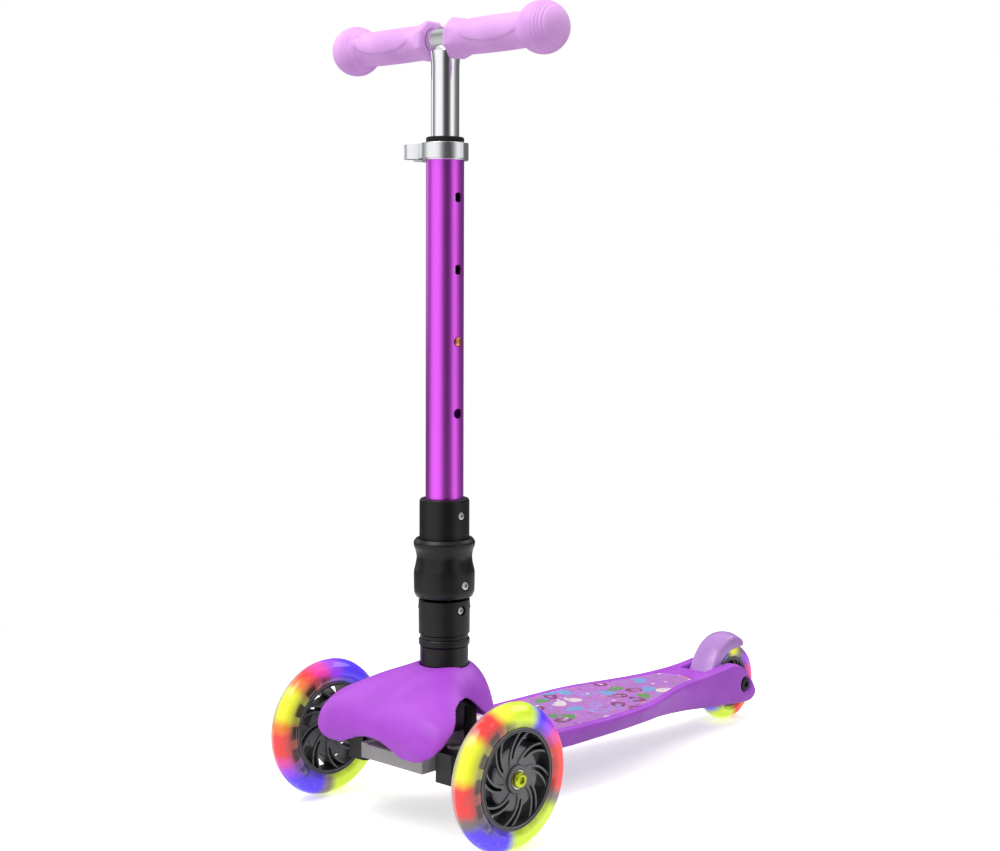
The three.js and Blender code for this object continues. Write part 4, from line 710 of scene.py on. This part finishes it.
def hoodSkin(name, inset, foot):
    shape = hoodShape
    length, rise = shape["rear"] - shape["front"], shape["top"] - shape["foot"]
    rows = []
    places = np.linspace(0, 1, 110) ** 1.25
    for back, (wide, tall, square) in zip(places, easedRows(shape["rows"], places)):
        y = shape["front"] + length * back
        # the wall is kept by drawing the rows in towards the column
        side = columnBack - shape["front"] if y < columnBack else shape["rear"] - columnBack
        y -= (y - columnBack) / side * inset
        half, crown = shape["half"] * wide - inset, shape["foot"] + rise * tall - inset
        line = []
        for angle in np.linspace(0, math.pi, 361):
            across = math.copysign(abs(math.cos(angle)) ** (2 / square), math.cos(angle))
            line.append((half * across, foot + (crown - foot) * max(math.sin(angle), 0) ** (2.16 / square)))
        over = evenly(line, 120)
        under = evenly([line[-1], line[0]], 40)[1:-1]
        rows.append([at(x, y, z) for x, z in [*over, *under]])
    return skinOver(name, rows)


def addHood():
    shape = hoodShape
    length, rise, half = shape["rear"] - shape["front"], shape["top"] - shape["foot"], shape["half"]
    low = shape["foot"] - 2
    hood = hoodSkin("moulded_hood", 0, shape["foot"])
    combine(hood, hoodSkin("inside", shape["wall"], low))
    side = [(shape["front"] + length * back, shape["foot"] + rise * up) for back, up in shape["sideArch"]]
    side = closedBelow(smoothLine(side, 90), low)
    combine(hood, pushedPiece("sideArch", side, "x", -half - 2, half + 2))
    arch = [(half * out, shape["foot"] + rise * up) for out, up in shape["frontEdge"]]
    arch = closedBelow(smoothLine(bothSides(arch), 160), low)
    neck, above = shape["neck"]
    front, depth = shape["front"], shape["archDepth"]
    combine(hood, pushedPiece("frontArch", arch, "y", front - 2, front + depth))
    combine(hood, rodPiece("neckBore", neck, low, above, onColumn(), "z", 96))
    finished(melt(hood, shape["voxel"], shape["rounds"]), looks["purple"], "stem", "front_cover")
    print("hood made,", len(hood.data.polygons), "faces")


addHood()


deckShape = {
    "front": 68, "rear": 462.5, "half": 58, "top": 60, "edge": 3.2, "shell": 3, "recess": 2.2,
    "recessFront": 84, "recessRear": 366, "corner": 12, "rim": 7.5, "slotFront": 386, "slotHalf": 15.8,
    "voxel": 1.25, "rounds": 4, "panelTop": 59.1, "panelLow": 58.1,
    # how far back, half width at the rim and at the foot, height of the rim and of the foot
    "rows": [
        (0, 0.741, 0.638, 1, 0.717), (0.061, 0.862, 0.759, 1.017, 0.692), (0.137, 0.931, 0.81, 1.017, 0.683),
        (0.228, 0.983, 0.862, 1.01, 0.683), (0.33, 1, 0.871, 1, 0.683), (0.423, 0.983, 0.853, 1, 0.683),
        (0.492, 0.914, 0.81, 1, 0.677), (0.55, 0.81, 0.724, 1, 0.65), (0.601, 0.698, 0.647, 1.005, 0.61),
        (0.652, 0.603, 0.579, 1.01, 0.567), (0.71, 0.534, 0.524, 1.013, 0.517),
        (0.781, 0.5, 0.497, 1.017, 0.457), (0.852, 0.483, 0.483, 1.04, 0.407),
        (0.902, 0.483, 0.483, 1.063, 0.377), (0.933, 0.483, 0.483, 1.005, 0.357),
        (0.955, 0.48, 0.48, 0.905, 0.342), (0.974, 0.474, 0.474, 0.78, 0.343),
        (0.99, 0.466, 0.466, 0.66, 0.375), (1, 0.455, 0.455, 0.55, 0.43)],
    "ribs": [0.2, 0.36, 0.52, 0.68, 0.84], "spine": (110, 372), "rib": 2.4, "ribTop": 57,
    # the front beam's tail lies under a thicker stretch: half width, ends and height
    "beamSeat": (24, 74, 108, 50.3), "beamRoom": (26.4, 107.7, 50.3), "nutRoom": (9, 25.2, 40),
}


def deckRows(count, last=1.0):
    shape = deckShape
    places = np.linspace(0, last, count)
    found = easedRows(shape["rows"], places)
    length = shape["rear"] - shape["front"]
    return [(shape["front"] + length * back, shape["half"] * rim, shape["half"] * foot, shape["top"] * top,
             shape["top"] * low) for back, (rim, foot, top, low) in zip(places, found)]


# half width of the rim at a place along the deck
def rimAt(y):
    shape = deckShape
    share = (y - shape["front"]) / (shape["rear"] - shape["front"])
    return shape["half"] * float(easedRows(shape["rows"], np.array([share]))[0][0])


def deckBoard():
    rows = []
    for y, rim, foot, top, low in deckRows(150):
        edge = min(deckShape["edge"], (top - low) * 0.3)
        middle = min(rim + 0.4, foot + (rim - foot) * 0.62 + 0.35)
        side = [(0, low), (foot - edge * 1.2, low), (foot - edge * 0.35, low + edge * 0.3),
                (foot, low + edge), (middle, (top + low) / 2 + edge * 0.4), (rim, top - edge),
                (rim - edge * 0.35, top - edge * 0.3), (rim - edge, top), (0, top)]
        rows.append([at(x, y, z) for x, z in bothSides(evenly(side, 60))])
    return skinOver("moulded_deck", rows)


def panelOutline(inset):
    shape = deckShape
    last = shape["recessRear"] - shape["corner"]
    side = [(rimAt(y) - shape["rim"] - inset, y) for y in np.linspace(shape["recessFront"] + 5, last, 60)]
    nose = shape["recessFront"] + inset
    first, tail, end = side[0][0], side[-1][0], shape["recessRear"] - inset
    right = [(0, nose), (first - 6, nose), (first - 1.4, nose + 1.4), *side,
             (tail * 0.9, last + shape["corner"] * 0.45), (tail * 0.62, end - 3), (0, end)]
    return bothSides(evenly(right, 120))


def deckHollow():
    shape = deckShape
    roof = shape["top"] - shape["recess"] - shape["shell"]
    rows = []
    for y, rim, foot, top, low in deckRows(70, 0.78):
        half = foot - shape["shell"] - 1
        side = bothSides([(half - 2, low - 6), (half, low), (half, roof)])
        rows.append([at(x, y + shape["shell"], z) for x, z in side])
    hollow = skinOver("hollow", rows)
    start, end = shape["spine"]
    half, rib, top = shape["half"], shape["rib"], shape["ribTop"]
    for place in (start + (end - start) * share for share in shape["ribs"]):
        combine(hollow, blockPiece("rib", at(-half, place, 0), at(half, place + rib, top)))
    combine(hollow, blockPiece("rib", at(-rib / 2, start, 0), at(rib / 2, end, top)))
    half, front, rear, low = shape["beamSeat"]
    combine(hollow, blockPiece("beamSeat", at(-half, front, low), at(half, rear, top)))
    return hollow


def addDeck():
    shape = deckShape
    deck = deckBoard()
    combine(deck, deckHollow())
    floor = shape["top"] - shape["recess"]
    combine(deck, pushedPiece("recess", panelOutline(0), "z", floor, shape["top"] + 20))
    slot = shape["slotHalf"]
    combine(deck, blockPiece("slot", at(-slot, shape["slotFront"], 0), at(slot, shape["rear"] + 3, 80)))
    half, rear, top = shape["beamRoom"]
    combine(deck, blockPiece("beamRoom", at(-half, 60, 0), at(half, rear, top)))
    radius, inside, outside = shape["nutRoom"]
    for low, high in ((-outside, -inside), (inside, outside)):
        combine(deck, rodPiece("nutRoom", radius, low, high, wheelPlaces["rear"], "x"))
    finished(melt(deck, shape["voxel"], shape["rounds"]), looks["purple"], "chassis", "deck")
    panel = pushedPiece("printed_panel", panelOutline(0.3), "z", shape["panelLow"], shape["panelTop"])
    finished(soften(panel, 0.25, 2), looks["panel"], "chassis", "deck_panel")
    print("deck made,", len(deck.data.polygons), "faces")


addDeck()


fenderShape = {
    "front": 398, "rear": 456, "height": 91.5, "half": 15.1, "skin": 2.8, "pin": (392, 51), "eye": 5,
    "pinBore": (2.8, 20), "springHalf": 4.9, "voxel": 0.6, "rounds": 8,
    # how far back, height of the crown, of the shoulder, and of the side skirt's foot
    "rows": [(0, 0.607, 0.579, 0.503), (0.066, 0.678, 0.634, 0.525), (0.164, 0.776, 0.732, 0.59),
             (0.279, 0.869, 0.82, 0.683), (0.41, 0.94, 0.885, 0.76), (0.557, 0.984, 0.923, 0.809),
             (0.705, 1, 0.938, 0.825), (0.836, 0.99, 0.922, 0.831), (0.934, 0.962, 0.896, 0.836),
             (1, 0.934, 0.88, 0.842)],
}


def fenderSkin(name, inset):
    shape = fenderShape
    places = np.linspace(0, 1, 70)
    length, tall = shape["rear"] - shape["front"], shape["height"]
    rows = []
    for back, (crown, shoulder, foot) in zip(places, easedRows(shape["rows"], places)):
        push = inset * (1 - 0.4 * back) + (3 * back if inset else 0)
        y = shape["front"] + length * back + push
        half = shape["half"] - inset
        crown, shoulder = tall * crown - inset, tall * shoulder - inset
        foot = tall * foot - (3 if inset else 0)
        rise = crown - shoulder
        side = [(half, foot), (half, shoulder - rise * 0.9), (half * 0.985, shoulder - rise * 0.3),
                (half * 0.9, shoulder + rise * 0.28), (half * 0.6, crown - rise * 0.26),
                (half * 0.25, crown - rise * 0.02), (0, crown)]
        line = bothSides(smoothLine(side, 50))
        rows.append([at(x, y, z) for x, z in [*evenly(line, 70), *evenly([line[-1], line[0]], 20)[1:-1]]])
    return skinOver(name, rows)


def addFender():
    shape = fenderShape
    fender = combine(fenderSkin("moulded_fender", 0), fenderSkin("inside", shape["skin"]))
    back, high = shape["pin"]
    crown, shoulder, foot = (shape["height"] * share for share in shape["rows"][0][1:])
    eye = [(back + shape["eye"] * math.cos(a), high + shape["eye"] * math.sin(a))
           for a in np.linspace(math.pi / 2, math.pi * 1.5, 24)]
    arm = pushedPiece("arm", [*eye, (shape["front"] + 2, foot), (shape["front"] + 2, shoulder)], "x",
                      -shape["half"], shape["half"])
    combine(fender, arm, "UNION")
    reach = shape["eye"] + 2
    combine(fender, blockPiece("springRoom", at(-shape["springHalf"], back - reach, high - reach),
                               at(shape["springHalf"], back + shape["eye"], high + reach)))
    radius, half = shape["pinBore"]
    combine(fender, rodPiece("pinBore", radius, -half, half, at(0, back, high), "x", 32))
    finished(melt(fender, shape["voxel"], shape["rounds"]), looks["lilac"], "brake", "brake_fender")
    print("fender made,", len(fender.data.polygons), "faces")


addFender()


barShape = {"height": 660.5, "cross": 11, "upright": 12, "wall": 1.6, "foot": 377,
            "crossEnd": 108.3, "flare": 1.4, "button": (4.15, 405)}


def addHandlebar():
    shape = barShape
    foot, height, wall = shape["foot"], shape["height"], shape["wall"]
    outside, cross, end = shape["upright"], shape["cross"], shape["crossEnd"]
    flareFoot, top = height - 24, height - 6
    profile = [(outside - wall, foot), (outside, foot)]
    profile += [(outside, z) for z in np.linspace(foot + 6, flareFoot, 30)]
    profile += [(outside + shape["flare"] * s * s, flareFoot + 14 * s) for s in np.linspace(0.2, 1, 6)]
    profile += [(outside - 2, top), (outside - wall, top)]
    bar = turnedPiece("chrome_bar", profile, onColumn(), "z")
    profile = [(cross - wall, -end), (cross, -end), *[(cross, x) for x in np.linspace(6 - end, end - 6, 36)],
               (cross, end), (cross - wall, end)]
    combine(bar, turnedPiece("cross", profile, onColumn(height), "x"), "UNION")
    radius, up = shape["button"]
    combine(bar, rodPiece("buttonHole", radius, 0, 16, onColumn(up), "x", 32))
    soften(bar, 0.35, 2, 34)
    finished(bar, looks["chrome"], "t_bar", "handlebar_tube")


gripShape = {"inner": 13, "ball": 113, "ballRadius": 21.8, "body": 14.8, "collar": 18, "bore": 11.3,
             "boreEnd": 108.6, "groove": 0.8, "pad": (65, 36, 0.76), "padRise": 1.5, "padTurn": 76,
             "grooves": {"left": (118.4, 121.4, 124.2, 126.8), "right": (103.6, 106.2, 108.8, 111.6)}}


def gripProfile(side):
    shape = gripShape
    start = shape["ball"] - 15.6
    out = [(shape["collar"] * 0.9, shape["inner"]), (shape["collar"], shape["inner"] + 1.6),
           (shape["collar"] + 0.15, shape["inner"] + 3.4), (shape["collar"] - 0.5, shape["inner"] + 5.4),
           (16.6, shape["inner"] + 9), (15.2, shape["inner"] + 13), (shape["body"], shape["inner"] + 16)]
    line = [*smoothLine(out, 40)]
    line += [(shape["body"] * (1 + 0.03 * math.sin(math.pi * s)), 29 + (start - 31) * s)
             for s in np.linspace(0.02, 0.98, 60) if 29 + (start - 31) * s < start - 2]
    ball = []
    for share in np.linspace(0, 1, 90):
        angle = math.pi * 0.755 * (1 - share)
        along = shape["ball"] + shape["ballRadius"] * math.cos(angle)
        dip = sum(math.exp(-((along - g) / 0.62) ** 2) for g in shape["grooves"][side])
        radius = shape["ballRadius"] - shape["groove"] * min(dip, 1)
        ball.append((radius * math.sin(angle), along))
    ball[-1] = (0, shape["ball"] + shape["ballRadius"])
    bore = shape["bore"]
    return [(bore, shape["inner"]), *line, *ball, (0, shape["boreEnd"]), (bore, shape["boreEnd"])]


# the collar's soft facets and the raised palm pad are pulled out of the turned shape
def shapeGrip(piece):
    shape = gripShape
    count = len(piece.data.vertices)
    co = np.empty(count * 3, np.float32)
    piece.data.vertices.foreach_get("co", co)
    co = co.reshape(-1, 3) / mm
    x, back, up = co[:, 0], co[:, 1], co[:, 2]
    out = np.hypot(back, up)
    angle = np.arctan2(-back, up)
    skin = out > shape["bore"] + 0.5
    facet = np.mod(angle + math.pi / 8, math.pi / 4) - math.pi / 8
    flat = np.cos(math.pi / 8) / np.cos(facet)
    near = np.clip((24 - x) / 5, 0, 1) * skin
    lift = out * (flat - 1) * near * 0.8
    centre, half, wide = shape["pad"]
    turn = (angle - math.radians(shape["padTurn"]) + math.pi) % math.tau - math.pi
    away = np.hypot((x - centre) / half, turn / wide)
    pad = np.clip((1.0 - away) / 0.09, 0, 1)
    pad = pad * pad * (3 - 2 * pad) * (1 - 0.35 * np.clip(away, 0, 1) ** 2)
    lift += shape["padRise"] * pad * skin
    scale = np.where(out > 0.01, (out + lift) / np.maximum(out, 0.01), 1)
    co[:, 1] *= scale
    co[:, 2] *= scale
    piece.data.vertices.foreach_set("co", (co * mm).astype(np.float32).ravel())


def addGrips():
    place = onColumn(barShape["height"])
    for side, facing in (("left", 1), ("right", -1)):
        grip = turnedPiece("grip", gripProfile(side), (0, 0, 0), "x", 144)
        shapeGrip(grip)
        shadeSmooth(editAll(grip, faceOut), finishing["softUnder"])
        finished(copyOf(grip, side + "_rubber_grip", place, (facing, 1, 1)), looks["grip"], "t_bar",
                 "grip_" + side)
        bpy.data.objects.remove(grip)
    print("handlebar made")


addHandlebar()
addGrips()


columnShape = {"radius": 16.2, "wall": 1.5, "foot": 216, "top": 573.5, "hole": 4.3,
               "holes": (527, 466, 405, 344), "slot": (20.7, 1.5)}


def addColumnTube():
    shape = columnShape
    foot, top, outside, inside = shape["foot"], shape["top"], shape["radius"], shape["radius"] - shape["wall"]
    profile = [(inside, foot), (outside, foot), *[(outside, z) for z in np.linspace(foot + 2, top - 2, 150)],
               (outside, top), (inside, top)]
    tube = turnedPiece("anodised_tube", profile, onColumn(), "z")
    for height in shape["holes"]:
        combine(tube, rodPiece("hole", shape["hole"], 5, 20, onColumn(height), "x", 40))
    deep, half = shape["slot"]
    low, high = at(-20, columnBack - half, top - deep), at(0, columnBack + half, top + 2)
    combine(tube, blockPiece("slot", low, high))
    soften(tube, 0.3, 2, 34)
    finished(tube, looks["anodised"], "column", "outer_tube")


sleeveShape = {"foot": 187, "tall": 49.5, "bore": 21.8, "waist": 2.2, "rim": 4.6, "dimples": 6,
               "dimple": 1.0, "dimpleUp": 0.6, "dimpleSize": (6.5, 6.0), "screw": (198, 4.6),
               "side": [(0, 0.15), (0.09, 0.75), (0.4, 0.88), (0.52, 0.5), (0.68, 0), (0.78, 0.22),
                        (0.87, 0.82), (0.93, 1), (1, 0.1)]}


def addSleeve():
    shape = sleeveShape
    bore, foot, tall, waist = shape["bore"], shape["foot"], shape["tall"], shape["waist"]
    side = [(bore + waist + (shape["rim"] - waist) * out, foot + tall * up) for up, out in shape["side"]]
    profile = [(bore, foot), *smoothLine(side, 70), (bore, foot + tall)]
    sleeve = turnedPiece("ribbed_sleeve", profile, (0, 0, 0), "z", 144)
    # shallow finger rests round the waist
    high = foot + tall * shape["dimpleUp"]
    wide, deep = shape["dimpleSize"]
    for vertex in sleeve.data.vertices:
        x, y, z = vertex.co / mm
        out = math.hypot(x, y)
        if out > bore + 0.5:
            turn = (math.atan2(y, x) * shape["dimples"] / math.tau + 0.5) % 1 - 0.5
            away = math.hypot(turn * math.tau / shape["dimples"] * out / wide, (z - high) / deep)
            scale = 1 - shape["dimple"] * math.exp(-away * away) / out
            vertex.co.x *= scale
            vertex.co.y *= scale
    sleeve.data.transform(Matrix.Translation(onColumn()))
    height, radius = shape["screw"]
    combine(sleeve, rodPiece("screwRoom", radius, 24, 30, onColumn(height), "x", 32))
    shadeSmooth(sleeve, finishing["softUnder"])
    finished(sleeve, looks["black"], "sleeve", "lock_sleeve")


addColumnTube()
addSleeve()
print("column made")


# node: finish, body, width of its rounded edges in millimetres
roundedNodes = {
    "front_beam": ("grey", "chassis", 0.9),
    "knuckle_left": ("black", "left_knuckle", 0.7),
    "knuckle_right": ("black", "right_knuckle", 0.7),
    "steering_post": ("black", "stem", 0.6),
    "neck_ring": ("black", "stem", 0.5),
    "lower_hinge": ("black", "stem", 0.5),
    "upper_hinge": ("black", "column", 0.5),
    "tube_bush": ("rubber", "column", 0.5),
    "clamp_collar": ("polished", "column", 0.5),
    "clamp_lever": ("polished", "lever", 0.45),
    "clamp_nut": ("steel", "column", 0.3),
    "clamp_bolt": ("steel", "column", 0.3),
    "lever_pin": ("steel", "column", 0.2),
    "socket_screw": ("steel", "column", 0.2),
    "sleeve_screw": ("steel", "sleeve", 0.2),
    "fold_bolt": ("steel", "stem", 0.2),
    "fold_nut": ("steel", "stem", 0.25),
    "snap_button": ("copper", "button", 0.25),
    "tie_rod": ("steel", "link", 0.4),
    "rear_axle": ("darkSteel", "chassis", 0.25),
    "rear_axle_nut": ("darkSteel", "chassis", 0.3),
    "brake_pin": ("steel", "chassis", 0.2),
}
plainNodes = {
    "steel": ["deck_screw_left", "deck_screw_right", "tilt_pin", "kingpin_left", "kingpin_right",
              "rear_spacer_left", "rear_spacer_right", "brake_spring", "button_spring",
              "front_left_bearing_outer", "front_left_bearing_inner", "front_right_bearing_outer",
              "front_right_bearing_inner", "rear_bearing_outer", "rear_bearing_inner"],
    "rubber": ["tilt_bumper_left", "tilt_bumper_right"],
    "black": ["slide_bush"],
    "lamp": ["front_left_light_ring", "front_right_light_ring", "rear_light_ring"],
}


def addRounded(node, look, body, width):
    piece = bpy.data.objects.new(node + "_rounded", nodes[node].data.copy())
    bpy.context.scene.collection.objects.link(piece)
    piece.data.materials.clear()
    editAll(piece, weld, lambda: bpy.ops.mesh.dissolve_limited(angle_limit=math.radians(0.4)))
    soften(piece, width, 2, 34)
    finished(piece, looks[look], body, node)


for node, (look, body, width) in roundedNodes.items():
    addRounded(node, look, body, width)
for look, names in plainNodes.items():
    for name in names:
        wear(nodes[name], looks[look])
print("carried-over solids finished")


studio = {
    "worldLight": 0.36,
    "overheadLight": 1.0,
    "lift": 0.46,
    "floorColour": (244, 244, 244),
    "floorBounce": (192, 192, 192),
    "floorEnds": (0.42, 0.95),  # the floor turns into the backdrop between these distances, in metres
    "lamps": [
        # name, place, looks at, width, height, watts, colour
        ("key", (-0.4, -1.6, 2.5), (0, 0, 0.2), 1.6, 1.2, 38, (255, 252, 248)),
        ("fill", (-2.1, -0.3, 1.1), (0, 0, 0.3), 1.2, 1.6, 6, (250, 250, 255)),
        ("back", (0.4, 1.9, 1.9), (0, 0, 0.3), 1.6, 1.0, 12, (255, 255, 255)),
    ],
    # how bright the studio looks in a mirror, by degrees round from straight ahead of the scooter
    "mirrored": [(0, 1.2), (18, 1.1), (25, 0.75), (33, 0.3), (41, 0.13), (50, 0.08), (64, 0.07),
                 (74, 0.11), (84, 0.32), (92, 0.8), (100, 1.2), (115, 1.1), (122, 0.8), (133, 0.38),
                 (146, 0.22), (165, 0.16), (222, 0.16), (282, 0.14), (298, 0.2), (310, 0.46),
                 (320, 0.9), (330, 1.2)],
    "ceiling": 0.9,
}


def aim(thing, place, target):
    thing.location = place
    thing.rotation_euler = (Vector(target) - Vector(place)).to_track_quat("-Z", "Y").to_euler()


def addLamps():
    for name, place, target, wide, tall, watts, colour in studio["lamps"]:
        data = bpy.data.lights.new(name, "AREA")
        data.shape, data.size, data.size_y, data.energy = "RECTANGLE", wide, tall, watts
        data.color = tint(*colour)[:3]
        lamp = bpy.data.objects.new(name, data)
        bpy.context.scene.collection.objects.link(lamp)
        aim(lamp, place, target)


# masks of the rays that see the backdrop: straight or through the tyres, and in a mirror
def seenBy(paint):
    path = paint.node("ShaderNodeLightPath").socket.node.outputs
    rays = [Value(paint, path[name]) for name in ("Is Camera Ray", "Is Glossy Ray", "Is Transmission Ray")]
    return rays[0].larger(rays[2]), rays[1]


# the bright screens and darker gaps that mirrors see round the scooter
def screensAt(paint, across, along):
    screens = [(degrees, grey(light)) for degrees, light in studio["mirrored"]]
    return paint.roundRamp(across.turnFrom(along * -1.0).fraction(), screens)


def addFloor():
    only()
    bpy.ops.mesh.primitive_plane_add(size=24)
    floor = bpy.context.object
    floor.name = "floor"
    paint = Paint("paleFloor")
    across, along, up = paint.parts(paint.coordinates())
    straight, glossy = seenBy(paint)
    either = glossy.larger(straight)
    backdrop = paint.mix(glossy, grey(1), screensAt(paint, across, along))
    far = paint.node("ShaderNodeEmission", sockets={"Color": backdrop, "Strength": 1.0})
    lift = paint.node("ShaderNodeEmission", sockets={"Color": grey(1), "Strength": studio["lift"]})
    ink = paint.mix(either, tint(*studio["floorBounce"]), tint(*studio["floorColour"]))
    matt = paint.node("ShaderNodeBsdfDiffuse", sockets={"Color": ink})
    lifted = paint.node("ShaderNodeAddShader", sockets=[matt, lift])
    near = paint.node("ShaderNodeMixShader", sockets=[either, matt, lifted])
    share = paint.step((across ** 2 + along ** 2) ** 0.5, *studio["floorEnds"]) * either
    paint.surface(paint.node("ShaderNodeMixShader", sockets=[share, near, far]))
    floor.data.materials.append(paint.material)


# an even white sky, but mirrors see bright screens with darker gaps between them
def addWorld():
    world = bpy.data.worlds.new("studioWorld")
    bpy.context.scene.world = world
    world.use_nodes = True
    paint = Paint("worldNodes")
    bpy.data.materials.remove(paint.material)
    paint.tree = world.node_tree
    across, along, up = paint.parts(paint.node("ShaderNodeTexCoord", output="Generated"))
    ceiling = grey(studio["ceiling"])
    mirrored = paint.mix(paint.step(up, 0.45, 0.8), screensAt(paint, across, along), ceiling)
    straight, glossy = seenBy(paint)
    sky = paint.mix(paint.step(up, 0, 1), grey(studio["worldLight"]), grey(studio["overheadLight"]))
    plain = paint.mix(straight, sky, grey(1))
    background = world.node_tree.nodes["Background"]
    paint.feed(background.inputs["Color"], paint.mix(glossy, plain, mirrored))
    background.inputs["Strength"].default_value = 1
    # otherwise part of what a mirror sees is the plain sky
    world.cycles.sampling_method = "NONE"


view = {"place": (1.0118, -1.1514, 0.4572), "azimuth": 41.48, "down": 2.33, "roll": 0.29, "lens": 59.13,
        "shift": (-0.0755, -0.0779)}


def addCamera():
    camera = bpy.data.objects.new("camera", bpy.data.cameras.new("camera"))
    bpy.context.scene.collection.objects.link(camera)
    turn = (Matrix.Rotation(math.radians(view["azimuth"]), 4, "Z")
            @ Matrix.Rotation(math.radians(90 - view["down"]), 4, "X")
            @ Matrix.Rotation(math.radians(view["roll"]), 4, "Z"))
    camera.matrix_world = Matrix.Translation(view["place"]) @ turn
    camera.data.sensor_width = 36
    camera.data.lens = view["lens"]
    camera.data.shift_x, camera.data.shift_y = view["shift"]
    bpy.context.scene.camera = camera


addLamps()
addFloor()
addWorld()
addCamera()
bpy.context.scene.view_settings.view_transform = "Standard"
print("studio set")
